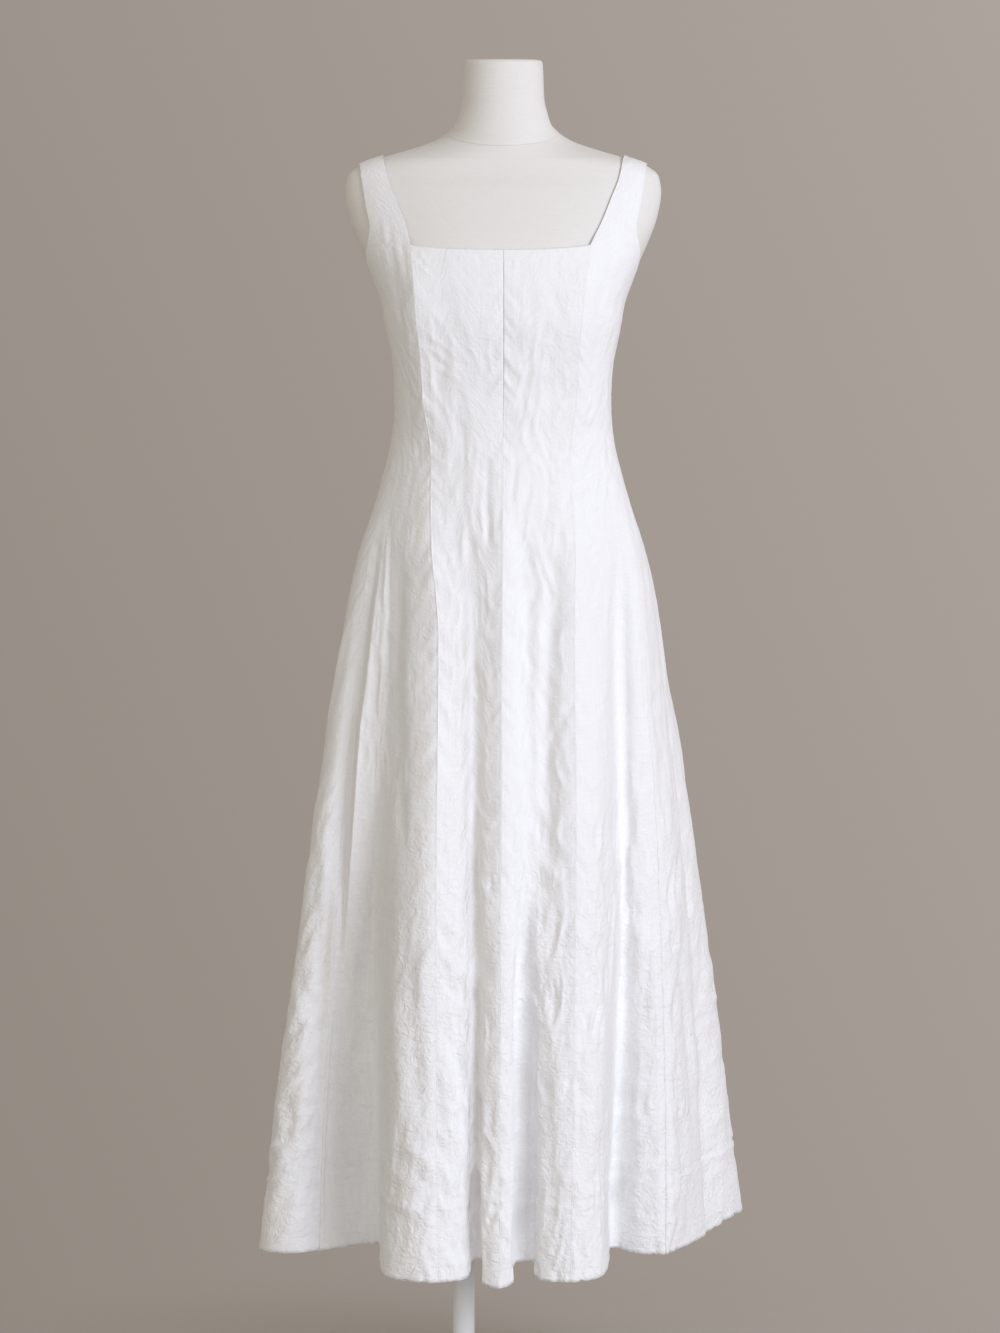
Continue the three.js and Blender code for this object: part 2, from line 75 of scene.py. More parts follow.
# %% Sections of the form, and the ease
FORM = table(
    "z half front back square lean",
    (FORM_BOTTOM_Z, 132, 86, 96, 2, 0),
    (915, 148, 97, 107, 2, 0),
    (960, 160, 103, 115, 2, 0),
    (1014, 160, 103, 113, 2, 0),
    (1074, 147, 97, 101, 2, 0),
    (1134, 131, 89, 88, 2.15, 0),
    (1188, 126, 90.5, 83, 2.6, 0),
    (1224, 127.5, 97, 85, 2.8, 0),
    (1284, 138, 109, 92, 2.95, 0),
    (1312, 143, 109.5, 95, 2.85, 0),
    (1338, 153, 106, 97, 2.65, 0),
    (1376, 171, 96, 95, 2.35, 0),
    (1415, 185.5, 81, 89, 2.1, 0.02),
    (1442, 190, 70, 84, 2, 0.05),
    (1462, 187, 60, 76, 2, 0.1),
    (1474, 174, 56, 70, 2, 0.14),
    (1484, 148, 54, 66, 2, 0.18),
    (1492, 118.5, 53, 63, 2, 0.26),
    (1501, 88.5, 52, 60, 2, 0.33),
    (1509, 72.5, 51, 57, 2, 0.4),
    (NECK_SEAM_Z, 66, 50.5, 56, 2, 0.45),
    (1522, 59, 50, 54, 2, 0.42),
    (1536, 54, 49, 51, 2, 0.34),
    (1556, 49.6, 48.5, 48.5, 2, 0.25),
    (1597, 47.6, 48, 46, 2, 0.155),
    (1600.5, 46.5, 46.5, 44.5, 2, 0.155),
    (FORM_TOP_Z, 43, 43, 41, 2, 0.155),
)
EASE = table(
    "z room", (1044, 5), (1104, 3), (1140, 2.3), (1284, 2), (1376, 2), (1430, 1.4), (1520, 1.2)
)
print(len(FORM["z"]), "sections in the form")

# %% [markdown]
# ## Measures of the skirt
# The skirt flares from the hip and falls in ten folds round the hem. A cloth simulation would make folds of its
# own, not those of the picture, so each fold's crest and trough is a row here, with its width and its lift.

# %% Flare and hem folds
SKIRT = table(
    "z half front back",
    (HEM_Z, 287, 203, 230),
    (354, 269.5, 190, 214),
    (474, 255.5, 180, 202),
    (594, 240.5, 168, 187),
    (714, 224, 154, 170),
    (834, 204.5, 138, 154),
    (954, 185.5, 121, 136),
    (1014, 172, 112, 124),
    (1074, 151.5, 101, 107),
    (HIP_Z, 143.5, 97.5, 98.5),
)
FOLDS = table(
    "x y face width lift trough_x trough_y trough_width trough_lift",
    (-5, -226, 0, 36, -10, 23, -198, 14, 14),
    (75, -228, 4, 76, -3, 127, -88, 16, 11),
    (190, -110, 28, 58, 8, 243, 0, 12, 14),
    (294, 98, 105, 96, 27, 196, 152, 26, 13),
    (126, 258, 160, 92, 0, 62, 146, 20, 0),
    (0, 283, 180, 62, 0, -62, 146, 20, 0),
    (-126, 258, 200, 92, 0, -192, 156, 26, 0),
    (-284, 112, 270, 96, 0, -272, 30, 20, 0),
    (-253, -105, 352, 70, 8, -150, -62, 20, 12),
    (-86, -226, 360, 92, -4, -29, -192, 12, 16),
)
print(len(FOLDS["x"]), "folds round the hem")

# %% [markdown]
# ## Seams, armholes and straps
# Eight seams run up the dress. Each starts at a place among the hem's folds and climbs at an angle round the
# body, given at five heights; the first angle also holds at the hem. The armhole is how far the side gore stops
# short of its seam, by height, and the strap is its share of the way up and its two edges in x.

# %% Places of the seams
SEAM_HEIGHTS = (HEM_Z, 900, HIP_Z, 1188, 1284, FRONT_CORNER_Z)
SEAMS = {
    "centre_front": (0, (0, 0, 0, 0, 0)),
    "princess_left": (1, (29, 33, 35.5, 32, 33)),
    "side_left": (2, (66, 70, 84, 89, 90)),
    "back_left": (4, (142, 142, 138, 141, 141)),
    "centre_back": (5, (180, 180, 180, 180, 180)),
    "back_right": (6, (218, 218, 222, 219, 219)),
    "side_right": (8 + 1 / 6, (294, 290, 276, 271, 270)),
    "princess_right": (9 + 1 / 24, (334, 324.5, 320, 323, 324)),
    "centre_front_again": (10, (360, 360, 360, 360, 360)),
}
ARMHOLE = table(
    "z short",
    (UNDERARM_Z, 0),
    (1337, 4.5),
    (1348, 8),
    (1358, 12.5),
    (FRONT_CORNER_Z, 18.5),
    (1380, 22.5),
    (BACK_CORNER_Z, 26),
)
STRAP = ((0.15, 115, 156), (0.3, 125, 161), (0.55, 137.5, 166.5), (1, 145, 172))
print(len(SEAMS) - 1, "seams, the first one named again to close the round")


# %% [markdown]
# ## Curves through the tables
# Between two rows the real shape runs on smoothly. A straight line would leave a ridge at each row, and a plain
# spline can swing past its points, so this curve limits its slopes and never overshoots.

# %% A curve that doesn't overshoot
def curve(rows, key, value):
    x, y = np.asarray(rows[key], float), np.asarray(rows[value], float)
    span = np.diff(x)
    rate = np.diff(y) / span
    slope = np.concatenate(([rate[0]], np.zeros(len(x) - 2), [rate[-1]]))
    near, far = 2 * span[1:] + span[:-1], span[1:] + 2 * span[:-1]
    same = rate[:-1] * rate[1:] > 0
    safe = np.where(same, rate[:-1], 1), np.where(same, rate[1:], 1)
    slope[1:-1] = np.where(same, (near + far) / (near / safe[0] + far / safe[1]), 0)

    def at(place):
        place = np.asarray(place, float)
        i = np.clip(np.searchsorted(x, place) - 1, 0, len(x) - 2)
        t = np.clip((place - x[i]) / span[i], 0, 1)
        level = y[i] + (y[i + 1] - y[i]) * t * t * (3 - 2 * t)
        leave = slope[i] * t * (1 - t) ** 2 * span[i]
        return level + leave + slope[i + 1] * t * t * (t - 1) * span[i]

    return at


form = {name: curve(FORM, "z", name) for name in FORM}
skirt = {name: curve(SKIRT, "z", name) for name in SKIRT}
ease_room = curve(EASE, "z", "room")
armhole = curve(ARMHOLE, "z", "short")
WAIST_Z = 1188.0
print("form's waist", round(2 * float(form["half"](WAIST_Z))), "mm wide")


# %% [markdown]
# ## The form's body
# A dress form is round at the back and squarer across the chest. Sculpting could give that, but a superellipse
# gives both with one number, and its formula can be asked for a point at any angle and height.

# %% Points on the form
def section(degrees, half, front, back, square):
    angle = np.radians(degrees)
    side, ahead = np.sin(angle), np.cos(angle)
    power = np.where(ahead > 0, 2 / square, 1.0)
    depth = np.where(ahead > 0, front, back)
    x = half * np.sign(side) * np.abs(side) ** power
    y = -depth * np.sign(ahead) * np.abs(ahead) ** power
    return x, y


def form_point(degrees, z):
    degrees, z = np.broadcast_arrays(degrees, z)
    x, y = section(degrees, form["half"](z), form["front"](z), form["back"](z), form["square"](z))
    return np.stack((x, y, z + form["lean"](z) * y), -1)


def unit(vectors):
    return vectors / np.maximum(np.linalg.norm(vectors, axis=-1, keepdims=True), 1e-9)


print("middle of the bust", form_point(0.0, 1284.0).round(1))


# %% [markdown]
# ## The fitted bodice
# Above the hip the dress follows the body, a few millimetres away for ease, and the stiff princess seams stand
# off a little more. Shrinkwrap could lay a sheet on the form, but a point moved along the form's own outward
# direction is exact and needs no modifier.

# %% The outside of the bodice
CLOTH_OUT = 1.5
SEAM_STAND, SEAM_STAND_REACH = 6.0, 15.0
STAND_FADE, STAND_TOP_Z, STAND_CURVE = 60, 1385, 1.2
PROBE = 0.4


def seam_angle(seam, z):
    angles = SEAMS[seam][1]
    heights = {"z": SEAM_HEIGHTS, "angle": angles[:1] + angles}
    return curve(heights, "z", "angle")(z)


def seam_stand(degrees, z):
    """The princess seams stand a little off the form, so the front is flat between them."""
    tall = np.clip((z - HIP_Z) / STAND_FADE, 0, 1) * np.clip((STAND_TOP_Z - z) / STAND_FADE, 0, 1)
    stand = np.zeros(np.shape(degrees))
    for seam in ("princess_left", "princess_right"):
        away = np.abs(degrees - seam_angle(seam, z)) / SEAM_STAND_REACH
        stand = np.maximum(stand, np.clip(1 - away, 0, 1) ** STAND_CURVE)
    return SEAM_STAND * tall * stand


def fitted(degrees, z):
    """The outside of the bodice over the form."""
    along = form_point(degrees + PROBE, z) - form_point(degrees - PROBE, z)
    up = form_point(degrees, z + PROBE) - form_point(degrees, z - PROBE)
    room = (ease_room(z) + CLOTH_OUT + seam_stand(degrees, z))[..., None]
    return form_point(degrees, z) + unit(np.cross(along, up)) * room


front_waist = np.array([0.0]), np.array([WAIST_Z])
stand_off = np.linalg.norm(fitted(*front_waist) - form_point(*front_waist))
print("bodice stands", round(float(stand_off), 1), "mm off the form at the front of the waist")


# %% [markdown]
# ## The folded hem
# From below, the hem is one closed wavy line. Each fold gives six points, three for a rounded crest and three for
# a rounded trough. A bezier curve could be drawn through them by hand, but this spline sets its own handles from
# the distances between points, so it doesn't loop where a fold is tight.

# %% The hem's closed line
KNOTS_PER_FOLD = 6
CREST_ROUND, SHOULDER_LIFT = 0.3, 0.15


def rounded_end(tip, across, width, sign, before, after):
    back = CREST_ROUND * width * sign * np.array((-across[1], across[0], 0))
    first, last = ((0, 0, SHOULDER_LIFT * (end[2] - tip[2])) for end in (before, after))
    return [tip - across * width / 2 + back + first, tip, tip + across * width / 2 + back + last]


def hem_knots():
    count = len(FOLDS["x"])
    crest = np.stack((FOLDS["x"], FOLDS["y"], HEM_Z + FOLDS["lift"]), -1)
    trough = np.stack((FOLDS["trough_x"], FOLDS["trough_y"], HEM_Z + FOLDS["trough_lift"]), -1)
    face = np.radians(FOLDS["face"])
    along = np.stack((np.cos(face), np.sin(face), 0 * face), -1)
    between = unit((np.roll(crest, -1, axis=0) - crest) * (1, 1, 0))
    knots = []
    for i in range(count):
        after = crest[(i + 1) % count]
        knots += rounded_end(crest[i], along[i], FOLDS["width"][i], 1, trough[i - 1], trough[i])
        knots += rounded_end(trough[i], between[i], FOLDS["trough_width"][i], -1, crest[i], after)
    return np.array(knots[1:] + knots[:1])


KNOTS = hem_knots()


def hem_point(fold):
    """The closed line at a place counted in folds."""
    count = len(KNOTS)
    place = np.asarray(fold, float) * KNOTS_PER_FOLD % count
    i = np.floor(place).astype(int) % count
    t = (place - np.floor(place))[..., None]
    p0, p1, p2, p3 = (KNOTS[(i + k) % count] for k in (-1, 0, 1, 2))
    pairs = (p0, p1), (p1, p2), (p2, p3)
    gap = [np.sqrt(np.linalg.norm(b - a, axis=-1, keepdims=True)) for a, b in pairs]
    leave = ((p1 - p0) / gap[0] - (p2 - p0) / (gap[0] + gap[1]) + (p2 - p1) / gap[1]) * gap[1]
    arrive = ((p2 - p1) / gap[1] - (p3 - p1) / (gap[1] + gap[2]) + (p3 - p2) / gap[2]) * gap[1]
    square = -3 * p1 + 3 * p2 - 2 * leave - arrive
    cube = 2 * p1 - 2 * p2 + leave + arrive
    return p1 + leave * t + square * t**2 + cube * t**3


hem_steps = np.diff(hem_point(np.linspace(0, len(FOLDS["x"]), 2000)), axis=0)
print("hem", round(float(np.linalg.norm(hem_steps, axis=1).sum())), "mm round, with its folds opened out")


# %% [markdown]
# ## Gores, from hem to hip
# A gore is a long panel, narrow at the waist and wide at the hem. Each becomes a grid: columns from one seam to
# the next, closer together near the seams, and rows from the hem up. A loft between hip and hem would open the
# folds evenly, so the rows swing out by a power of the height, which lets the folds fade out under the hip.

# %% Skirt rows
COLUMNS = {"centre_front": 72, "side_front": 104, "side_back": 66, "centre_back": 46}
SKIRT_ROWS, BODICE_ROWS, ARM_ROWS, STRAP_ROWS = ((210, 88, 16, 34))
EDGE_CROWDING, HEM_SAMPLES = 0.6, 3000
FOLD_GROWTH, FRONT_GROWTH = 1.15, 0.95


def panel_columns(start, end, count):
    folds = np.linspace(SEAMS[start][0], SEAMS[end][0], HEM_SAMPLES)
    steps = np.linalg.norm(np.diff(hem_point(folds), axis=0), axis=1)
    shares = np.concatenate(([0], np.cumsum(steps))) / steps.sum()
    t = np.linspace(0, 1, count)
    share = t - EDGE_CROWDING * np.sin(2 * np.pi * t) / (2 * np.pi)
    return share, np.interp(share, shares, folds)


def panel_angle(start, end, share, z):
    first, last = seam_angle(start, z), seam_angle(end, z)
    return first + (last - first) * share


def skirt_rows(start, end, share, fold):
    tip = hem_point(fold)
    down = np.linspace(1, 0, SKIRT_ROWS + 1)[:-1, None]
    z = HIP_Z + (tip[:, 2] - HIP_Z) * down
    degrees, at_hem = (panel_angle(start, end, share, level) for level in (z, np.array(HEM_Z)))
    x, y = section(degrees, skirt["half"](z), skirt["front"](z), skirt["back"](z), 2)
    x0, y0 = section(at_hem, skirt["half"](HEM_Z), skirt["front"](HEM_Z), skirt["back"](HEM_Z), 2)
    frontal = np.maximum(0, np.cos(np.radians(at_hem))) ** 4
    growth = FOLD_GROWTH + (FRONT_GROWTH - FOLD_GROWTH) * frontal
    grown = np.maximum(0, (FOLD_TOP_Z - z) / (FOLD_TOP_Z - tip[:, 2])) ** growth
    return np.stack((x + grown * (tip[:, 0] - x0), y + grown * (tip[:, 1] - y0), z), -1)


print(SKIRT_ROWS, "rows in the skirt")


# %% [markdown]
# ## Gores, from hip to shoulder
# A centre gore ends at the neckline, which dips a little in front. A side gore goes on beside the armhole and up
# to the shoulder as half of a wide strap, cut in one with it. The strap could be a sheet of its own, but then a
# join would show, so the same columns run on and share out the width between its two edges.

# %% Bodice, neckline and strap rows
RIDGE_SAMPLES = 600


def bodice_rows(start, end, share):
    z = np.linspace(HIP_Z, UNDERARM_Z, BODICE_ROWS)[:, None] + 0 * share
    return fitted(panel_angle(start, end, share, z), z)


def neckline_rows(start, end, share, top, dip, centre_first):
    level = np.linspace(UNDERARM_Z, top, ARM_ROWS + 1)[1:, None]
    to_centre = 1 - share if centre_first else share
    sag = dip * (1 - (1 - to_centre) ** 2) * (level - UNDERARM_Z) / (top - UNDERARM_Z)
    return fitted(panel_angle(start, end, share, level), level - sag)


def side_rows(start, end, share, corner, arm_last):
    """Beside the armhole, then up the strap to the shoulder seam."""
    seam, side_seam = (start, end) if arm_last else (end, start)
    side = SEAMS[side_seam][1][-1]
    to_arm = share if arm_last else 1 - share
    level = np.linspace(UNDERARM_Z, corner, ARM_ROWS + 1)[1:]
    inner = seam_angle(seam, level)
    outer = side + armhole(level) * np.sign(inner - side)
    degrees = inner[:, None] + (outer - inner)[:, None] * to_arm
    beside = fitted(degrees, np.broadcast_to(level[:, None], degrees.shape))
    corners = form_point(np.array((inner[-1], outer[-1])), np.array((corner, corner)))
    foot = np.abs(corners[:, 0])
    edges = table("share inner outer", (0, *foot), *STRAP)
    rise = np.linspace(0, 1, STRAP_ROWS + 1)[1:]
    first, last = curve(edges, "share", "inner")(rise), curve(edges, "share", "outer")(rise)
    x = first[:, None] + (last - first)[:, None] * to_arm
    heights = np.linspace(NECK_SEAM_Z, SHOULDER_END_Z, RIDGE_SAMPLES)
    ridge = np.interp(x, form["half"](heights), heights)
    z = corner + (ridge - corner) * np.sin(rise * np.pi / 2)[:, None]
    in_front = abs(inner[-1] - 180) > 90
    power = form["square"](z) / 2 if in_front else 1
    acute = np.degrees(np.arcsin(np.minimum(1, x / form["half"](z)) ** power))
    turned = acute if in_front else 180 - acute
    strap = fitted(turned if side < 180 else 360 - turned, z)
    return np.concatenate((beside, strap))


print(BODICE_ROWS, "rows to the underarm and", ARM_ROWS + STRAP_ROWS, "to the shoulder")


# %% [markdown]
# ## Skirt and bodice in one
# The real gore is cut in one piece, so nothing breaks its line at the hip. The bands of rows are put together,
# then a few rounds of averaging ease the slope near the hip. The Smooth modifier would shrink the whole gore;
# here the rest stays in place.

# %% The eight smooth gores
SETTLE_REACH, SETTLE_ROUNDS = 70, 40


def settle(grid, height, reach, passes):
    near = np.clip(1 - np.abs(grid[1:-1, :, 2:] - height) / reach, 0, 1)
    for _ in range(passes):
        bend = (grid[:-2] + grid[2:]) / 2 - grid[1:-1]
        grid[1:-1] += near * bend
    return grid


PANELS = {
    "centre_front_left": ("centre_front", "centre_front", "princess_left"),
    "side_front_left": ("side_front", "princess_left", "side_left"),
    "side_back_left": ("side_back", "side_left", "back_left"),
    "centre_back_left": ("centre_back", "back_left", "centre_back"),
    "centre_back_right": ("centre_back", "centre_back", "back_right"),
    "side_back_right": ("side_back", "back_right", "side_right"),
    "side_front_right": ("side_front", "side_right", "princess_right"),
    "centre_front_right": ("centre_front", "princess_right", "centre_front_again"),
}


def smooth_panel(name):
    kind, start, end = PANELS[name]
    share, fold = panel_columns(start, end, COLUMNS[kind])
    front = "front" in name
    top = FRONT_CORNER_Z if front else BACK_CORNER_Z
    rows = [skirt_rows(start, end, share, fold), bodice_rows(start, end, share)]
    if "centre" in kind:
        dip = NECKLINE_DIP if front else 0
        rows.append(neckline_rows(start, end, share, top, dip, "centre" in start))
    else:
        rows.append(side_rows(start, end, share, top, "side" in end))
    return settle(np.concatenate(rows), HIP_Z, SETTLE_REACH, SETTLE_ROUNDS)


grids = {name: smooth_panel(name) for name in PANELS}
print({name: grid.shape[:2] for name, grid in grids.items()})


# %% [markdown]
# ## Measuring along the cloth
# Creases, puckers and stitches follow the cloth, so each point needs its distance from the first seam, its
# distance from the hem and its outward direction. Blender could give the directions, but not the distances, and
# the grid's own rows and columns give all three.

# %% Distances and outward directions
def grid_normals(grid):
    along = np.gradient(grid, axis=1)
    up = np.gradient(grid, axis=0)
    return unit(np.cross(along, up))


def run_across(grid):
    steps = np.linalg.norm(np.diff(grid, axis=1), axis=-1)
    return np.concatenate((np.zeros((len(grid), 1)), np.cumsum(steps, axis=1)), axis=1)


def run_up(grid):
    steps = np.linalg.norm(np.diff(grid, axis=0), axis=-1)
    return np.concatenate((np.zeros((1, grid.shape[1])), np.cumsum(steps, axis=0)))


print("gores", {name: round(float(run_up(grid).max())) for name, grid in grids.items()}, "mm long")


# %% [markdown]
# ## What creases are made of
# A crease is a low ridge that fades to both sides, and washed cloth is covered with hills of no plan. A Displace
# modifier with a noise texture could move the vertices, but hills made here can be masked, bent and measured.

# %% Ridges, hills and a smooth step
LATTICE = 64


def smooth_step(share):
    share = np.clip(share, 0, 1)
    return share * share * (3 - 2 * share)


def soft_noise(a, b, seed):
    """Smooth hills and hollows, one to each unit of a and b, from -1 to 1."""
    rng = np.random.default_rng(seed)
    hills = rng.uniform(-1, 1, (LATTICE, LATTICE))
    i, j = np.floor(a).astype(int), np.floor(b).astype(int)
    s, t = smooth_step(a - i), smooth_step(b - j)

    def corner(m, n):
        return hills[(i + m) % LATTICE, (j + n) % LATTICE]

    low = corner(0, 0) * (1 - s) + corner(1, 0) * s
    high = corner(0, 1) * (1 - s) + corner(1, 1) * s
    return low * (1 - t) + high * t


def pleat(distance, width):
    return np.exp(-((distance / width) ** 2))


print("one width from its middle a ridge keeps", round(float(pleat(1.0, 1.0)), 2), "of its height")


# %% [markdown]
# ## Creases in front
# Linen keeps the creases it was folded and worn with. A simulation can't be told where they go, so the main ones
# in front were read from the picture, a row for each ridge or trough between its two ends.

# %% Table of the front creases
# Both ends in x and z, the width, and the height at each end: ridges are above zero and troughs below.
FRONT_CREASES = table(
    "x0 z0 x1 z1 width start end",
    (-90, 1266, -44, 1226, 3.4, 1.0, 0.3),
    (-90, 1252, -52, 1214, 3.2, 0.9, 0.3),
    (-89, 1258, -60, 1236, 3.0, -0.5, -0.2),
    (-88, 1230, -38, 1202, 3.0, 0.8, 0.3),
    (-87, 1240, -58, 1222, 2.8, -0.5, -0.2),
    (-68, 1264, -32, 1220, 3.0, 0.9, 0.5),
    (-60, 1284, -40, 1250, 3.0, -0.6, -0.3),
    (-86, 1290, -58, 1262, 3.0, 0.7, 0.2),
    (-40, 1250, -22, 1212, 2.8, 0.7, 0.5),
    (-20, 1246, -12, 1214, 2.6, 0.8, 0.4),
    (-80, 1196, -56, 1160, 3.0, 0.8, 0.4),
    (-52, 1200, -38, 1150, 3.0, -0.7, -0.3),
    (50, 1264, 16, 1204, 2.8, 0.9, 0.4),
    (78, 1244, 44, 1208, 2.8, 1.0, 0.4),
    (80, 1258, 56, 1232, 2.8, 0.8, 0.3),
    (64, 1266, 36, 1226, 2.6, -0.8, -0.3),
    (70, 1230, 34, 1190, 2.8, -0.7, -0.3),
    (30, 1236, 18, 1196, 2.6, 0.7, 0.4),
    (44, 1196, 34, 1150, 3.0, 0.8, 0.4),
    (70, 1190, 58, 1146, 3.0, 0.7, 0.4),
    (22, 1150, 34, 1108, 2.8, 0.8, 0.5),
    (-68, 1160, -58, 1060, 4.0, 0.9, 0.6),
    (-46, 1170, -48, 1050, 4.0, -0.9, -0.8),
    (-30, 1150, -36, 1040, 4.0, 0.9, 0.8),
    (-16, 1130, -20, 1000, 4.5, -1.2, -2.4),
    (14, 1130, 12, 1030, 4.0, -0.8, -1.2),
    (36, 1130, 34, 1020, 4.0, 0.8, 0.8),
    (50, 1150, 54, 1040, 4.0, -0.8, -0.8),
    (66, 1130, 66, 1040, 4.0, 0.7, 0.6),
    (-144, 1404, -132, 1340, 4.0, 0.8, 0.4),
    (-137, 1396, -125, 1334, 3.6, -0.6, -0.3),
    (-128, 1384, -119, 1326, 3.6, 0.8, 0.3),
    (-121, 1382, -112, 1326, 3.2, -0.6, -0.2),
    (-114, 1376, -104, 1318, 3.2, 0.7, 0.2),
    (-100, 1360, -86, 1342, 2.6, 0.9, 0.2),
    (-98, 1352, -84, 1334, 2.6, -0.7, -0.2),
    (-97, 1344, -82, 1326, 2.6, 0.8, 0.2),
    (-66, 1358, -62, 1338, 2.6, 0.6, 0.1),
    (-28, 1356, -25, 1334, 2.6, -0.6, -0.1),
    (12, 1356, 14, 1330, 2.6, 0.6, 0.1),
    (42, 1356, 40, 1336, 2.6, -0.6, -0.1),
    (72, 1358, 66, 1334, 2.6, 0.7, 0.1),
    (126, 1380, 120, 1330, 3.4, 0.9, 0.2),
    (112, 1290, 116, 1258, 4.0, -1.0, -0.3),
    (-124, 1030, -118, 620, 8, -3.0, -4.0),
    (-204, 660, -206, 165, 30, -6.0, -15.0),
    (141, 1060, 138, 560, 10, -6.0, -6.0),
    (152, 1000, 160, 420, 12, 3.0, 4.0),
    (114, 960, 104, 560, 12, 2.0, 3.0),
    (66, 1040, 36, 560, 11, -6.5, -6.5),
    (20, 1040, 44, 1000, 4, 1.2, 0.5),
    (26, 1010, 40, 970, 4, -1.2, -0.5),
    (18, 930, 40, 880, 4, 1.4, 0.6),
    (22, 905, 42, 860, 4, -1.4, -0.6),
    (20, 880, 38, 840, 4, 1.3, 0.5),
    (58, 1080, 46, 1030, 4, -1.2, -0.6),
    (62, 1060, 56, 990, 4, 1.2, 0.6),
    (44, 1010, 40, 940, 4.5, -1.4, -0.8),
    (24, 1070, 26, 760, 11, -4.0, -4.0),
    (23, 660, 23, 120, 9, -4.0, -30.0),
    (-30, 430, -30, 130, 6, -0.5, -3.0),
    (190, 560, 196, 180, 24, 2.0, 6.0),
    (132, 560, 134, 180, 22, -2.0, -5.0),
    (168, 575, 148, 470, 9, 4.0, 1.6),
    (170, 575, 186, 420, 8, 3.6, 1.2),
    (167, 545, 166, 410, 11, -3.8, -1.0),
    (190, 780, 206, 520, 10, 2.0, 3.4),
    (-120, 330, -62, 296, 8, 3.0, 1.6),
    (-112, 300, -50, 262, 8, -2.8, -1.4),
    (-126, 262, -66, 240, 8, 2.6, 1.6),
    (-66, 430, -56, 290, 8, 2.4, 2.8),
    (-104, 560, -96, 330, 9, -2.2, -2.8),
    (-122, 520, -118, 330, 8, 2.0, 2.4),
    (54, 520, 64, 320, 9, 2.0, 2.8),
    (90, 520, 82, 300, 8, -1.8, -2.8),
    (100, 430, 104, 280, 8, 2.2, 2.0),
    (56, 300, 108, 262, 8, 2.2, 1.2),
    (214, 430, 246, 340, 10, 3.0, 1.6),
    (226, 380, 256, 310, 9, -2.6, -1.2),
    (-240, 520, -228, 330, 10, 2.0, 2.8),
    (-256, 400, -236, 270, 9, -2.0, -1.8),
    (-224, 700, -214, 470, 9, -1.6, -2.4),
)
print(len(FRONT_CREASES["x0"]), "creases in front")

# %% Front creases on a gore
FACING_FADE, ENDS_FADE = 40, 0.25
SWAY, SWAY_TURNS = 0.3, 6


def front_creases(grid):
    height = np.zeros(grid.shape[:2])
    facing = np.clip((FACING_FADE - grid[..., 1]) / FACING_FADE, 0, 1)
    names = ("x0", "z0", "x1", "z1", "width", "start", "end")
    for x0, z0, x1, z1, width, start, end in zip(*(FRONT_CREASES[name] for name in names)):
        dx, dz = x1 - x0, z1 - z0
        length = np.hypot(dx, dz)
        along = ((grid[..., 0] - x0) * dx + (grid[..., 2] - z0) * dz) / length**2
        aside = ((grid[..., 0] - x0) * dz - (grid[..., 2] - z0) * dx) / length
        aside += SWAY * width * np.sin(along * SWAY_TURNS + x0)
        fade = np.clip(along / ENDS_FADE, 0, 1) * np.clip((1 - along) / ENDS_FADE, 0, 1)
        height += (start + (end - start) * along) * smooth_step(fade) * pleat(aside, width)
    return height * facing


tallest = max(np.abs(front_creases(grid)).max() for name, grid in grids.items() if "front" in name)
print("front creases move the cloth by up to", round(float(tallest), 1), "mm")


# %% [markdown]
# ## The open pleat
# Below the hip, on the wearer's right, the cloth lies in a pleat that opens downwards and closes again. It stands
# in a hollow, where the outward directions meet and its walls would cross, so it is moved straight to the front.
# The table gives its two sides in x and how far it stands forward, by height.

# %% Open pleat
OPEN_PLEAT = table(
    "z left right tall",
    (500, -192, -146, 0),
    (640, -183, -138, 18),
    (730, -177, -136, 21),
    (800, -172, -134, 18),
    (870, -163, -133, 14),
    (930, -156, -133, 10),
    (1000, -147, -132, 4),
    (1045, -142, -132, 0),
)
LIP_OUT, LIP_WIDE, SLOPE_SHARE = 3, 7, 0.45


def open_pleat(grid):
    x, y, z = np.moveaxis(grid, -1, 0)
    names = ("left", "right", "tall")
    left, right, tall = (np.interp(z, OPEN_PLEAT["z"], OPEN_PLEAT[name]) for name in names)
    lip = smooth_step((x - left + LIP_OUT) / LIP_WIDE)
    shape = lip * smooth_step((right - x) / (SLOPE_SHARE * (right - left)))
    return tall * shape * (y < 0)


print("open pleat stands up to", OPEN_PLEAT["tall"].max(), "mm forward")


# %% [markdown]
# ## Creases out of sight
# The same cloth hangs at the back, where no picture says how. Copies of the front's creases would look like
# copies, so the back gets soft ones by chance, mostly along the hang, from a fixed seed that repeats in every run.

# %% Creases by chance
CHANCE_ENDS_FADE = 0.3


def chance_creases(across, up, count, seed):
    rng = np.random.default_rng(seed)
    height = np.zeros(across.shape)
    # Place, lean, length, width and height are drawn in this order, in millimetres along the cloth.
    for _ in range(count):
        a0, u0 = rng.uniform(20, 300), rng.uniform(20, 1000)
        lean, length = rng.normal(0, 0.18), rng.uniform(90, 300)
        width, tall = rng.uniform(6, 13), rng.uniform(1.0, 3.2) * rng.choice((-1, 1))
        along = (up - u0) / length
        aside = across - a0 - lean * (up - u0)
        fade = np.clip(along / CHANCE_ENDS_FADE, 0, 1) * np.clip((1 - along) / CHANCE_ENDS_FADE, 0, 1)
        height += tall * fade * pleat(aside, width)
    return height


back = grids["side_back_left"]
moves = chance_creases(run_across(back), run_up(back), count=30, seed=1)
print("thirty of them move a gore by", moves.min().round(1), "to", moves.max().round(1), "mm")


# %% [markdown]
# ## Seams
# A sewn seam is never flat. Edge stitches press a fine line on each side, the thread draws the cloth into
# puckers, and below the hip the stiff seam holds the skirt out in a low roof. Painted height maps would need one
# for each seam; the distance to the seam serves them all.

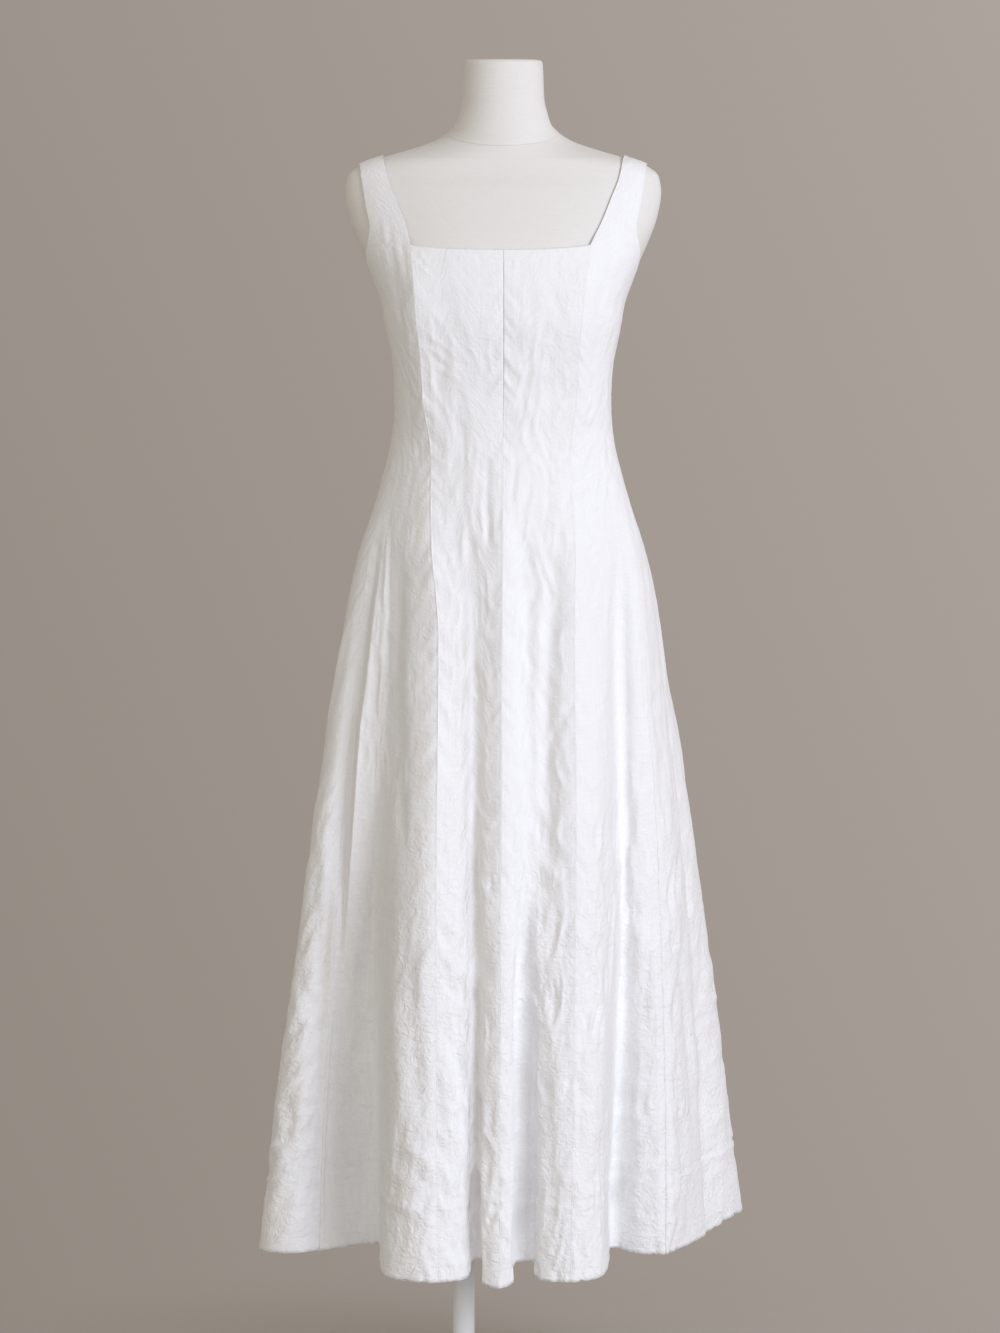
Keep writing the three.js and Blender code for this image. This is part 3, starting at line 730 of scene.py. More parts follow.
# %% Pressed lines, puckers and roofs
STITCH_IN = 2.2
PRESS_DEPTH, PRESS_WIDE = 0.18, 0.9
PUCKER_LONG, PUCKER_SHORT, PUCKER_SLANT, PUCKER_TALL = 19, 9, 1.3, 1.7
PUCKER_REACH, REACH_SWING, REACH_LONG = 15, 8, 70
ROOF_TALL, SIDE_ROOF_TALL, ROOF_REACH = 8.0, 1.5, 20
ROOF_TOP_Z, ROOF_TOP_FADE, ROOF_FOOT_Z, ROOF_FOOT_FADE = 1150, 160, 330, 420


def seam_relief(distance, up, seed):
    line = -PRESS_DEPTH * pleat(distance - STITCH_IN, PRESS_WIDE)
    slanted = up + PUCKER_SLANT * distance
    middle = up * 0 + 0.5
    drawn = soft_noise(slanted / PUCKER_LONG, middle, seed)
    drawn += 0.8 * soft_noise(slanted / PUCKER_SHORT, middle, seed + 1)
    reach = PUCKER_REACH + REACH_SWING * soft_noise(up / REACH_LONG, middle, seed + 2)
    return line + PUCKER_TALL * drawn * pleat(distance, reach)


def seam_roof(seam, distance, z):
    """Low under the hip, highest in the upper skirt, and gone where the hem's folds take over."""
    tall = np.clip((ROOF_TOP_Z - z) / ROOF_TOP_FADE, 0, 1) * np.clip((z - ROOF_FOOT_Z) / ROOF_FOOT_FADE, 0, 1)
    return (SIDE_ROOF_TALL if "side" in seam else ROOF_TALL) * tall * np.exp(-distance / ROOF_REACH)


print("centre seam's roof at 800 mm up", round(float(seam_roof("centre_front", 0.0, 800.0)), 1), "mm")


# %% [markdown]
# ## Washed linen
# Flax fibres don't spring back, so washing leaves soft hills, sharp creases between them and fine puckers. Each
# is the same noise at another size; folded at zero it gives the sharp lines, and a patchy mask keeps it uneven.
# The lower skirt, sat on and swung about, creases most.

# %% Crumple
# Sizes of the noise across the gore and up it, in millimetres.
WARP, HILLS, LINES, PUCKERS, PATCHES = (70, 46), (40, 90), (15, 36), (8, 18), (80, 120)
WORN_TOP_Z, WORN_FADE, LEAST_WORN = 800, 280, 0.4


def crumple(across, up, seed):
    """Heights in millimetres; the warp bends the other patterns sideways."""

    def noise(size, a, b, step):
        return soft_noise(a / size[0], b / size[1], seed + step)

    warp = 14 * noise(WARP, across, up, 3)
    broad = 2.0 * noise(HILLS, across + warp, up, 0)
    sharp = 2.2 - 4.8 * np.abs(noise(LINES, across + warp, up + warp, 1))
    fine = 0.8 - 1.7 * np.abs(noise(PUCKERS, across - warp, up + warp, 2))
    patch = np.clip(0.75 + 0.9 * noise(PATCHES, across, up, 4), 0.2, 1)
    return broad + 1.25 * patch * (sharp + fine)


def worn_share(z):
    return LEAST_WORN + (1 - LEAST_WORN) * np.clip((WORN_TOP_Z - z) / WORN_FADE, 0, 1)


spread = crumple(run_across(back), run_up(back), 1).std()
print("crumple moves the cloth by", spread.round(1), "mm on the whole")


# %% [markdown]
# ## The deep hem
# The hem is turned up and stitched. Its upper edge shows as a dent over a soft ridge, and the thread draws both
# edges of the band into puckers. A second sheet could be laid inside, but only this relief would be seen of it.

# %% Hem relief
HEM_DEPTH = 90.0
DENT_DEPTH, DENT_WIDE = 1.5, 2.2
RIDGE_TALL, RIDGE_BELOW, RIDGE_WIDE = 0.9, 6, 4
BAND_DRAWN, EDGE_DRAWN = 14, 9
HEM_PUCKER_LONG, HEM_PUCKER_SHORT, HEM_PUCKER_TALL = 11, 5, 1.7


def hem_relief(height, across, up, edge, seed):
    band = up - HEM_DEPTH
    dent = -DENT_DEPTH * pleat(band, DENT_WIDE)
    height = height + (dent + RIDGE_TALL * pleat(band + RIDGE_BELOW, RIDGE_WIDE))
    drawn = pleat(band, BAND_DRAWN) + pleat(up, EDGE_DRAWN)
    puckers = soft_noise(across / HEM_PUCKER_LONG, up * 0 + 0.3, seed + 9)
    puckers += 0.6 * soft_noise(across / HEM_PUCKER_SHORT, up * 0 + 0.7, seed + 8)
    return height + HEM_PUCKER_TALL * drawn * np.clip(edge / 10, 0, 1) * puckers


print("hem band", HEM_DEPTH, "mm deep")


# %% [markdown]
# ## All the relief together
# The heights add up along each point's outward direction. Near a seam the crumple gives way to the puckers, at the
# neckline all of it is held flat, and no trough goes deeper than the room over the form. Modifiers could be
# stacked for this, but each would see only the last one's result and not the distances along the cloth.

# %% Heights of one gore
SIDE_PUCKERS = 0.4
BACK_CREASES = 30
ROOM_OVER_FORM = 1.7
# Below the hip and among the folds: the height it starts at, how soon it is all there, and the room it adds.
MORE_ROOM = ((1080, 140, 7), (640, 240, 18))


def room_inside(z):
    """How far a trough may go in."""
    room = ROOM_OVER_FORM
    for top, fade, more in MORE_ROOM:
        room = room + more * np.clip((top - z) / fade, 0, 1)
    return room


def crease_height(name, grid, normals, seed):
    _, start, end = PANELS[name]
    z = grid[..., 2]
    across, up = run_across(grid), run_up(grid)
    from_end = across[:, -1:] - across
    edge = np.minimum(across, from_end)
    seam_seed = {seam: 40 + 5 * i for i, seam in enumerate(SEAMS)}
    seam_seed["centre_front_again"] = seam_seed["centre_front"]
    # Held almost flat by the neckline's turning, and calmer where the cloth is seen edge-on.
    sewn = 0.12 + 0.88 * np.clip((1350 - z) / 80, 0, 1)
    calm = 0.25 + 0.75 * np.clip(np.abs(normals[..., 1]) / 0.6, 0, 1)
    height = crumple(across, up, seed) * np.clip(edge / 16, 0, 1) * worn_share(z) * calm
    for distance, seam in ((across, start), (from_end, end)):
        share = SIDE_PUCKERS if "side" in seam else 1.0
        height += share * seam_relief(distance, up, seam_seed[seam]) + seam_roof(seam, distance, z)
    height *= sewn
    height += front_creases(grid) * np.clip(edge / 8, 0.3, 1)
    if "back" in name:
        loose = 0.3 + 0.7 * np.clip((HIP_Z + 40 - z) / 240, 0, 1)
        height += chance_creases(across, up, BACK_CREASES, seed + 5) * np.clip(edge / 20, 0, 1) * loose
    height = hem_relief(height, across, up, edge, seed)
    return np.maximum(height, -room_inside(z))


print("a trough may be", room_inside(UNDERARM_Z), "mm deep in the bodice and", room_inside(HEM_Z), "at the hem")

# %% Creased gores
MEETING = 0.1


def joined_normals(grids):
    """Outward directions, with one shared direction where two gores meet."""
    normals = {name: grid_normals(grid) for name, grid in grids.items()}
    names = list(grids)
    for name, after in zip(names, names[1:] + names[:1]):
        rows = min(len(grids[name]), len(grids[after]))
        meet = np.linalg.norm(grids[name][:rows, -1] - grids[after][:rows, 0], axis=1) < MEETING
        shared = unit(normals[name][:rows, -1] + normals[after][:rows, 0])
        normals[name][:rows, -1][meet] = shared[meet]
        normals[after][:rows, 0][meet] = shared[meet]
    return normals


def crease_all(grids):
    normals = joined_normals(grids)
    seeds = {name: 100 + 10 * i for i, name in enumerate(grids)}
    moved = {}
    for name, grid in grids.items():
        height = crease_height(name, grid, normals[name], seeds[name])
        moved[name] = grid + normals[name] * height[..., None]
        moved[name][..., 1] -= open_pleat(grid)
    return moved


creased = crease_all(grids)
print("largest move", round(max(np.abs(creased[n] - grids[n]).max() for n in grids), 1), "mm")


# %% [markdown]
# ## Colours and nodes
# A colour is picked as an sRGB hex value, as in a paint program, but Blender's sockets take linear light, so one
# function turns it. Nodes could be made and linked line by line; one function that adds a node with its settings
# and links keeps a material short enough to read.

# %% One function for colours and one for nodes
def linear(hex_colour):
    channels = [int(hex_colour[i : i + 2], 16) / 255 for i in (0, 2, 4)]
    return [c / 12.92 if c < 0.04045 else ((c + 0.055) / 1.055) ** 2.4 for c in channels] + [1.0]


def new_material(name):
    material = bpy.data.materials.new(name)
    material.use_nodes = True
    tree = material.node_tree
    return material, tree, tree.nodes["Principled BSDF"]


def add(tree, kind, links=None, **settings):
    """One node: its properties by name, and its inputs from another node's output or a plain value."""
    node = tree.nodes.new(kind)
    for key, value in settings.items():
        setattr(node, key, value)
    for socket, source in (links or {}).items():
        if isinstance(source, bpy.types.NodeSocket):
            tree.links.new(source, node.inputs[socket])
        else:
            node.inputs[socket].default_value = source
    return node


print("mid grey in linear light", round(linear("808080")[0], 3))


# %% [markdown]
# ## Woven cloth
# Linen and the form's cover are plain weaves, with warp and weft over and under each other in turn. Flax yarn is
# uneven, so linen shows slubs, a white that wanders by thread and a dull surface. A photographed texture could
# hold that; nodes on the flat cut's own coordinates follow the cloth round every fold and need no file.

# %% Weave, slubs and dry creases
# Noise cells to a yarn's width, across a slub and along it.
SLUB_WIDE, SLUB_LONG = 0.7, 0.02
# What the wave texture turns in each unit of its scale.
WAVE_RADIANS = 20
# Size in millimetres, and detail.
DRY_CREASES = ((24, 3.0), (9, 2.0))


def woven(name, light, dark, yarn_mm, yarn_lift, crinkle_lift, roughness, sheen):
    material, tree, shader = new_material(name)
    place = add(tree, "ShaderNodeUVMap", uv_map="cut").outputs["UV"]
    yarn = 1 / (yarn_mm * MM)
    # Slubs: thick places in single yarns, fifty yarns long and one or two wide.
    slubs = []
    for scale in ((yarn * SLUB_WIDE, yarn * SLUB_LONG, 1), (yarn * SLUB_LONG, yarn * SLUB_WIDE, 1)):
        stretched = add(tree, "ShaderNodeMapping", {"Vector": place, "Scale": scale}).outputs["Vector"]
        noise = add(tree, "ShaderNodeTexNoise", {"Vector": stretched, "Scale": 1.0, "Detail": 2.0})
        slubs.append(noise.outputs["Fac"])
    both = add(tree, "ShaderNodeMath", {0: slubs[0], 1: slubs[1]}, operation="ADD").outputs[0]
    tone = add(tree, "ShaderNodeMapRange", {"Value": both, "From Min": 0.7, "From Max": 1.3}).outputs[0]
    shades = {"Factor": tone, 6: linear(dark), 7: linear(light)}
    colour = add(tree, "ShaderNodeMix", shades, data_type="RGBA")
    tree.links.new(colour.outputs[2], shader.inputs["Base Color"])
    # The weave: warp and weft, over each other like the squares of a chequerboard. A wave is about six yarns long,
    # so it is drawn coarser than the real weave, which is too fine to show.
    waves = []
    for direction in ("X", "Y"):
        bands = {"Vector": place, "Scale": yarn / WAVE_RADIANS}
        waves.append(add(tree, "ShaderNodeTexWave", bands, bands_direction=direction).outputs["Fac"])
    cloth = add(tree, "ShaderNodeMath", {0: waves[0], 1: waves[1]}, operation="MULTIPLY").outputs[0]
    threads = add(tree, "ShaderNodeMath", {0: both, 1: cloth}, operation="ADD").outputs[0]
    # Small dry creases left by washing, a finger's width across and less, sharp along their lines.
    lines = []
    for size_mm, detail in DRY_CREASES:
        cells = {"Vector": place, "Scale": 1 / (size_mm * MM), "Detail": detail, "Distortion": 0.6}
        noise = add(tree, "ShaderNodeTexNoise", cells).outputs["Fac"]
        swing = add(tree, "ShaderNodeMath", {0: noise, 1: 0.5}, operation="SUBTRACT").outputs[0]
        lines.append(add(tree, "ShaderNodeMath", {0: swing}, operation="ABSOLUTE").outputs[0])
    both_lines = add(tree, "ShaderNodeMath", {0: lines[0], 1: lines[1]}, operation="ADD").outputs[0]
    worn = add(tree, "ShaderNodeAttribute", attribute_name="worn").outputs["Fac"]
    pressed = add(tree, "ShaderNodeMath", {0: both_lines, 1: worn}, operation="MULTIPLY").outputs[0]
    soft = add(tree, "ShaderNodeBump", {"Height": pressed, "Strength": 1.0, "Distance": crinkle_lift * MM})
    fine = add(tree, "ShaderNodeBump", {"Height": threads, "Strength": 1.0, "Distance": yarn_lift * MM})
    tree.links.new(soft.outputs["Normal"], fine.inputs["Normal"])
    tree.links.new(fine.outputs["Normal"], shader.inputs["Normal"])
    finish = {"Roughness": roughness, "Sheen Weight": sheen, "Sheen Roughness": 0.5, "Specular IOR Level": 0.2}
    for socket, value in finish.items():
        shader.inputs[socket].default_value = value
    return material


# Bleached flax, washed: a cool white, dull, with a soft light rim from loose fibres and many dry creases.
LINEN = woven(
    "washed linen", "fafafb", "f3f2f1", yarn_mm=0.8, yarn_lift=0.04, crinkle_lift=2.7, roughness=0.85, sheen=0.2
)
# Tight cotton stretched over padding: warmer and a little darker than the dress, and almost without creases.
COVER = woven(
    "form cover cloth", "eeece7", "e8e5df", yarn_mm=0.6, yarn_lift=0.02, crinkle_lift=0.08, roughness=0.9, sheen=0.15
)
print([material.name for material in (LINEN, COVER)])


# %% [markdown]
# ## Paint and thread
# The stand is steel with sprayed satin enamel, and the dress is sewn with white cotton. One flat colour would do
# for both from far away, but paint that is perfectly even looks like plastic, so its gloss changes a little.

# %% Satin paint and cotton thread
# Eleven ripples in 50 mm.
RIPPLE_MM = 50 / 11


def painted(name, colour):
    material, tree, shader = new_material(name)
    place = add(tree, "ShaderNodeTexCoord").outputs["Object"]
    grain = {"Vector": place, "Scale": 1 / (RIPPLE_MM * MM), "Detail": 2.0}
    ripple = add(tree, "ShaderNodeTexNoise", grain).outputs["Fac"]
    gloss = add(tree, "ShaderNodeMapRange", {"Value": ripple, "To Min": 0.3, "To Max": 0.42}).outputs[0]
    skin = add(tree, "ShaderNodeBump", {"Height": ripple, "Strength": 0.3, "Distance": 0.05 * MM})
    tree.links.new(gloss, shader.inputs["Roughness"])
    tree.links.new(skin.outputs["Normal"], shader.inputs["Normal"])
    shader.inputs["Base Color"].default_value = linear(colour)
    return material


# Sprayed satin enamel: a soft gloss with a faint ripple.
PAINT = painted("white satin paint", "f4f4f4")
# Twisted cotton: as white as the linen and a little smoother, so that mostly its shadow shows.
THREAD, _, thread_shader = new_material("white cotton thread")
thread_shader.inputs["Base Color"].default_value = linear("f6f5f2")
thread_shader.inputs["Roughness"].default_value = 0.6
print([material.name for material in (PAINT, THREAD)])


# %% [markdown]
# ## From a grid to a closed sheet
# A mesh needs corner points and faces. Solidify could thicken a single layer, but it can't be thicker at a turned
# edge, so the outer and inner layer are both written here and a rim of faces closes them all round.

# %% Meshes from grids
def as_object(name, vertices, faces, material):
    mesh = bpy.data.meshes.new(name)
    mesh.from_pydata((np.asarray(vertices) * MM).tolist(), [], faces)
    mesh.materials.append(material)
    mesh.shade_smooth()
    thing = bpy.data.objects.new(name, mesh)
    bpy.context.collection.objects.link(thing)
    return thing


def grid_faces(rows, columns, offset, flip):
    j, i = np.meshgrid(np.arange(rows - 1), np.arange(columns - 1), indexing="ij")
    a = (offset + j * columns + i).ravel()
    quads = np.stack((a, a + 1, a + 1 + columns, a + columns), -1)
    return quads[:, ::-1] if flip else quads


def rim_faces(rows, columns):
    loop = np.concatenate(
        (
            np.arange(columns),
            np.arange(1, rows) * columns + columns - 1,
            (rows - 1) * columns + np.arange(columns - 2, -1, -1),
            np.arange(rows - 2, 0, -1) * columns,
        )
    )
    after = np.roll(loop, -1)
    back = rows * columns
    return np.stack((loop, loop + back, after + back, after), -1)


def write_cut(mesh, coordinates):
    """The flat cut's own coordinates, in metres, for the weave."""
    layer = mesh.uv_layers.new(name="cut")
    corners = np.empty(len(mesh.loops), int)
    mesh.loops.foreach_get("vertex_index", corners)
    layer.data.foreach_set("uv", (coordinates[corners] * MM).ravel())


print(len(grid_faces(3, 4, 0, False)), "faces in a grid of 3 by 4 points, and", len(rim_faces(3, 4)), "in its rim")


# %% [markdown]
# ## The eight gores in linen
# Each gore is one layer of linen, and double where an edge is turned in: a narrow turning at the neckline,
# armholes and straps, and the deep hem. Neighbours share their seam line, as sewn gores do, and stay pieces of
# their own. Its flat cut is measured along the cloth, for the weave and for the maker.

# %% Sewn gores
SINGLE, TURNED = 0.8, 1.3
EDGE_TURN = 9.0


def write_worn(mesh, shares):
    """How much the dry creases of the material show at each point."""
    mesh.attributes.new("worn", "FLOAT", "POINT").data.foreach_set("value", shares.astype(np.float32))


def sew_panel(name, grid, normals):
    rows, columns = grid.shape[:2]
    across, up = run_across(grid), run_up(grid)
    from_top = up[-1:] - up
    edge = np.minimum(across, across[:, -1:] - across)
    above = grid[..., 2] > UNDERARM_Z
    turned = (from_top < EDGE_TURN) | (above & (edge < EDGE_TURN)) | (up < HEM_DEPTH)
    inside = grid - normals * np.where(turned, TURNED, SINGLE)[..., None]
    vertices = np.concatenate((grid.reshape(-1, 3), inside.reshape(-1, 3)))
    faces = np.concatenate(
        (
            grid_faces(rows, columns, 0, False),
            grid_faces(rows, columns, rows * columns, True),
            rim_faces(rows, columns),
        )
    )
    panel = as_object(name + "_cloth", vertices, faces.tolist(), LINEN)
    is_face = np.arange(len(faces)) < 2 * (rows - 1) * (columns - 1)
    panel.data.polygons.foreach_set("use_smooth", is_face)
    flat = np.stack((across - across[:, -1:] / 2, up), -1).reshape(-1, 2)
    write_cut(panel.data, np.concatenate((flat, flat)))
    write_worn(panel.data, worn_share(vertices[:, 2]))
    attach(panel, "root")
    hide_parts(name)
    area = (np.diff(across, axis=1)[:-1] * np.diff(up, axis=0)[:, :-1]).sum() * MM**2
    cut = (float(across[:, -1].max() * MM), float(up[-1].max() * MM), float(area))
    return panel, cut


cloth, cuts = {}, {}
cloth_normals = joined_normals(creased)
for name, grid in creased.items():
    cloth[name], cuts[name] = sew_panel(name, grid, cloth_normals[name])
print({name: [round(v, 3) for v in cut] for name, cut in cuts.items()})


# %% [markdown]
# ## Stitches
# Edge stitches follow both sides of each seam, the neckline, armholes and straps, and the top of the hem. They
# could be a bump in the material, but real threads catch the light. One Geometry Nodes tree cuts each line into
# even steps and lays a short thread on each.

# %% A tree that lays stitches along lines
# The thread is thicker than the real one, about 0.25 mm, so that it can show.
STITCH_STEP, STITCH_LONG, STITCH_THICK = 3.4, 2.4, 0.34


def stitch_tree():
    tree = bpy.data.node_groups.new("stitches along lines", "GeometryNodeTree")
    sockets = tree.interface
    sockets.new_socket("Geometry", in_out="INPUT", socket_type="NodeSocketGeometry")
    for label in ("Step", "Long", "Thick"):
        sockets.new_socket(label, in_out="INPUT", socket_type="NodeSocketFloat")
    sockets.new_socket("Geometry", in_out="OUTPUT", socket_type="NodeSocketGeometry")
    given = tree.nodes.new("NodeGroupInput").outputs
    lines = add(tree, "GeometryNodeMeshToCurve", {"Mesh": given["Geometry"]}).outputs[0]
    steps = add(tree, "GeometryNodeResampleCurve", {"Curve": lines, "Length": given["Step"]}, mode="LENGTH")
    sizes = {0: given["Long"], 1: given["Thick"], 2: given["Thick"]}
    size = add(tree, "ShaderNodeCombineXYZ", sizes).outputs[0]
    thread = add(tree, "GeometryNodeMeshIcoSphere", {"Radius": 0.5, "Subdivisions": 1}).outputs[0]
    tangent = add(tree, "GeometryNodeInputTangent").outputs[0]
    turn = add(tree, "FunctionNodeAlignRotationToVector", {"Vector": tangent}, axis="X").outputs[0]
    laid = add(
        tree,
        "GeometryNodeInstanceOnPoints",
        {"Points": steps.outputs[0], "Instance": thread, "Rotation": turn, "Scale": size},
    )
    real = add(tree, "GeometryNodeRealizeInstances", {0: laid.outputs[0]}).outputs[0]
    done = add(tree, "GeometryNodeSetMaterial", {"Geometry": real, "Material": THREAD}).outputs[0]
    add(tree, "NodeGroupOutput", {0: done})
    return tree


stitch_nodes = stitch_tree()
print(len(stitch_nodes.nodes), "nodes in the stitch tree")


# %% [markdown]
# ## Where the stitches run
# The needle keeps its distance from the edge, so each line joins the points of the creased gore that lie as far
# from it along the cloth. Curves drawn by hand would cut through the folds; these lie on the very cloth.

# %% Lines of stitches
NECK_STITCH = 5.0


def at_distance(grid, runs, distance):
    """The point of each row that lies this far along it."""
    return np.array(
        [[np.interp(distance, run, row[:, k]) for k in range(3)] for run, row in zip(runs, grid)]
    )


def stitch_lines(name, grid):
    flipped = grid[:, ::-1]
    lines = [
        at_distance(grid, run_across(grid), STITCH_IN),
        at_distance(flipped, run_across(flipped), STITCH_IN),
        at_distance(grid.transpose(1, 0, 2), run_up(grid).T, HEM_DEPTH),
    ]
    if "centre" in name:
        turned = grid[::-1]
        lines.append(at_distance(turned.transpose(1, 0, 2), run_up(turned).T, NECK_STITCH))
    return lines


print(len(stitch_lines("centre_front_left", creased["centre_front_left"])), "lines on a centre gore")


# %% [markdown]
# ## Sewing
# The tree runs once on each gore's lines, and its result is kept as a plain mesh, because the export takes no live
# modifier.

# %% Stitches on every gore
def add_stitches(name, lines, tree):
    points = np.concatenate(lines)
    starts = np.cumsum([0] + [len(line) for line in lines])
    edges = [(k, k + 1) for a, b in zip(starts[:-1], starts[1:]) for k in range(a, b - 1)]
    mesh = bpy.data.meshes.new(name)
    mesh.from_pydata((points * MM).tolist(), edges, [])
    route = bpy.data.objects.new(name, mesh)
    bpy.context.collection.objects.link(route)
    modifier = route.modifiers.new("stitches", "NODES")
    modifier.node_group = tree
    sizes = {"Step": STITCH_STEP, "Long": STITCH_LONG, "Thick": STITCH_THICK}
    for item in tree.interface.items_tree:
        if item.name in sizes:
            modifier[item.identifier] = sizes[item.name] * MM
    bpy.context.view_layer.update()
    evaluated = route.evaluated_get(bpy.context.evaluated_depsgraph_get())
    sewn = bpy.data.meshes.new_from_object(evaluated)
    route.modifiers.clear()
    route.data = sewn
    bpy.data.meshes.remove(mesh)
    sewn.shade_smooth()
    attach(route, "root")
    return route


for name, grid in creased.items():
    add_stitches(name + "_stitches", stitch_lines(name, grid), stitch_nodes)


# %% [markdown]
# ## The form's body and neck
# A padded body and a neck block, each covered with cloth, that meet in a seam. Subdivision would round the CAD
# model's few sections but also shrink them, so the section formula is asked for many more. The neck stands a
# quarter of a millimetre off the body, which leaves the faint line of the seam.

# %% Covered body and neck
FORM_COLUMNS = 120
NECK_SEAM_GAP = 0.25
COVER_CREASE = np.radians(25)


def loft(name, node, levels, lift):
    degrees = np.linspace(0, 360, FORM_COLUMNS, endpoint=False)
    rows = form_point(degrees[None, :], levels[:, None])
    rows[0, :, 2] += lift
    middles = [[0, 0, rows[end, :, 2].mean()] for end in (0, -1)]
    vertices = np.concatenate((rows.reshape(-1, 3), middles))
    pairs = [(a, (a + 1) % FORM_COLUMNS) for a in range(FORM_COLUMNS)]
    rings = range(0, rows[..., 0].size, FORM_COLUMNS)
    faces = [(low + a, low + b, high + b, high + a) for low, high in zip(rings, rings[1:]) for a, b in pairs]
    low_middle, high_middle = len(vertices) - 2, len(vertices) - 1
    faces += [(low_middle, b, a) for a, b in pairs]
    faces += [(high_middle, rings[-1] + a, rings[-1] + b) for a, b in pairs]
    body = as_object(name, vertices, faces, COVER)
    mesh = body.data
    mesh.set_sharp_from_angle(angle=COVER_CREASE)
    girth = form["half"](levels)[:, None] * np.pi / 180 * (degrees - 180)[None, :]
    flat = np.stack((girth, np.broadcast_to(levels[:, None], girth.shape)), -1).reshape(-1, 2)
    write_cut(mesh, np.concatenate((flat, [[0, levels[0]], [0, levels[-1]]])))
    write_worn(mesh, np.ones(len(vertices)))
    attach(body, "root")
    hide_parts(node)
    return body


torso_levels = np.concatenate(
    (
        np.linspace(FORM_BOTTOM_Z, 920, 8, endpoint=False),
        np.linspace(920, 1440, 70, endpoint=False),
        np.linspace(1440, NECK_SEAM_Z, 50),
    )
)
neck_levels = np.concatenate(
    (np.linspace(NECK_SEAM_Z, 1596, 34, endpoint=False), np.linspace(1596, FORM_TOP_Z, 8))
)
loft("form_body_cover", "form_torso", torso_levels, 0)
loft("form_neck_cover", "form_neck", neck_levels, NECK_SEAM_GAP)
print(len(torso_levels) + len(neck_levels), "levels in the covered form")


# %% [markdown]
# ## The stand
# A steel rod on a round plate, both turned and painted, with the sharp edges taken off the plate. A cylinder with a
# Bevel modifier would do; spinning a profile makes the same in one step and keeps its rounding in millimetres.

# %% Pole and base
TURNED_STEPS, STAND_CREASE = 96, np.radians(40)
BASE_ROUNDING, BASE_FOOT = 1.8, 0.6


def turned_piece(name, node, profile, centre_x):
    mesh = bpy.data.meshes.new(name)
    shape = bmesh.new()
    points = [shape.verts.new((radius * MM, 0, z * MM)) for radius, z in profile]
    edges = [shape.edges.new(pair) for pair in zip(points, points[1:])]
    bmesh.ops.spin(
        shape, geom=points + edges, axis=(0, 0, 1), cent=(0, 0, 0), angle=2 * np.pi, steps=TURNED_STEPS
    )
    bmesh.ops.remove_doubles(shape, verts=shape.verts, dist=0.01 * MM)
    bmesh.ops.recalc_face_normals(shape, faces=shape.faces)
    bmesh.ops.translate(shape, verts=shape.verts, vec=(centre_x * MM, 0, 0))
    shape.to_mesh(mesh)
    shape.free()
    mesh.materials.append(PAINT)
    mesh.shade_smooth()
    mesh.set_sharp_from_angle(angle=STAND_CREASE)
    piece = bpy.data.objects.new(name, mesh)
    bpy.context.collection.objects.link(piece)
    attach(piece, "root")
    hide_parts(node)
    return piece


(pole_low, pole_high), (base_low, base_high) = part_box("form_pole"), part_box("form_base")
pole_radius = (pole_high[0] - pole_low[0]) / 2 / MM
pole_x = (pole_high[0] + pole_low[0]) / 2 / MM
foot, top = pole_low[2] / MM, pole_high[2] / MM
turned_piece("stand_pole", "form_pole", [(0, foot), (pole_radius, foot), (pole_radius, top), (0, top)], pole_x)
base_radius, base_top = base_high[0] / MM, base_high[2] / MM
bend = np.radians(np.linspace(0, 90, 7))
rim = [
    (base_radius - BASE_ROUNDING * (1 - np.sin(a)), base_top - BASE_ROUNDING * (1 - np.cos(a))) for a in bend[::-1]
]
underside = [(0, 0), (base_radius - BASE_FOOT, 0), (base_radius, BASE_FOOT)]
turned_piece("stand_base", "form_base", [*underside, *rim, (0, base_top)], 0)
print("pole", round(2 * pole_radius), "mm thick, base", round(2 * base_radius), "mm wide")


# %% [markdown]
# ## Floor and surround
# The dress stands on a pale floor before a taupe backdrop that is lighter on the side of the main light. A wall
# could be built, but its edges and shadows would show, so the world's colour stands for it and the floor fades
# out into that colour.

# %% Floor and surround
FLOOR_RADIUS, FLOOR_SOLID = 0.95, 0.25
LIT_WAY, LIT_SPAN = (1, 0, 0.44), 0.3


def floor():
    mesh = bpy.data.meshes.new("floor")
    shape = bmesh.new()
    bmesh.ops.create_circle(shape, cap_ends=True, segments=128, radius=FLOOR_RADIUS)
    shape.to_mesh(mesh)
    shape.free()
    material, tree, shader = new_material("pale floor")
    shader.inputs["Base Color"].default_value = linear("c8c4bc")
    shader.inputs["Roughness"].default_value = 0.8
    place = add(tree, "ShaderNodeTexCoord").outputs["Object"]
    reach = add(tree, "ShaderNodeVectorMath", {0: place}, operation="LENGTH").outputs["Value"]
    seen = add(
        tree,
        "ShaderNodeMapRange",
        {"Value": reach, "From Min": FLOOR_SOLID, "From Max": FLOOR_RADIUS, "To Min": 1.0, "To Max": 0.0},
        interpolation_type="SMOOTHSTEP",
    ).outputs[0]
    tree.links.new(seen, shader.inputs["Alpha"])
    mesh.materials.append(material)
    disc = bpy.data.objects.new("floor", mesh)
    bpy.context.collection.objects.link(disc)


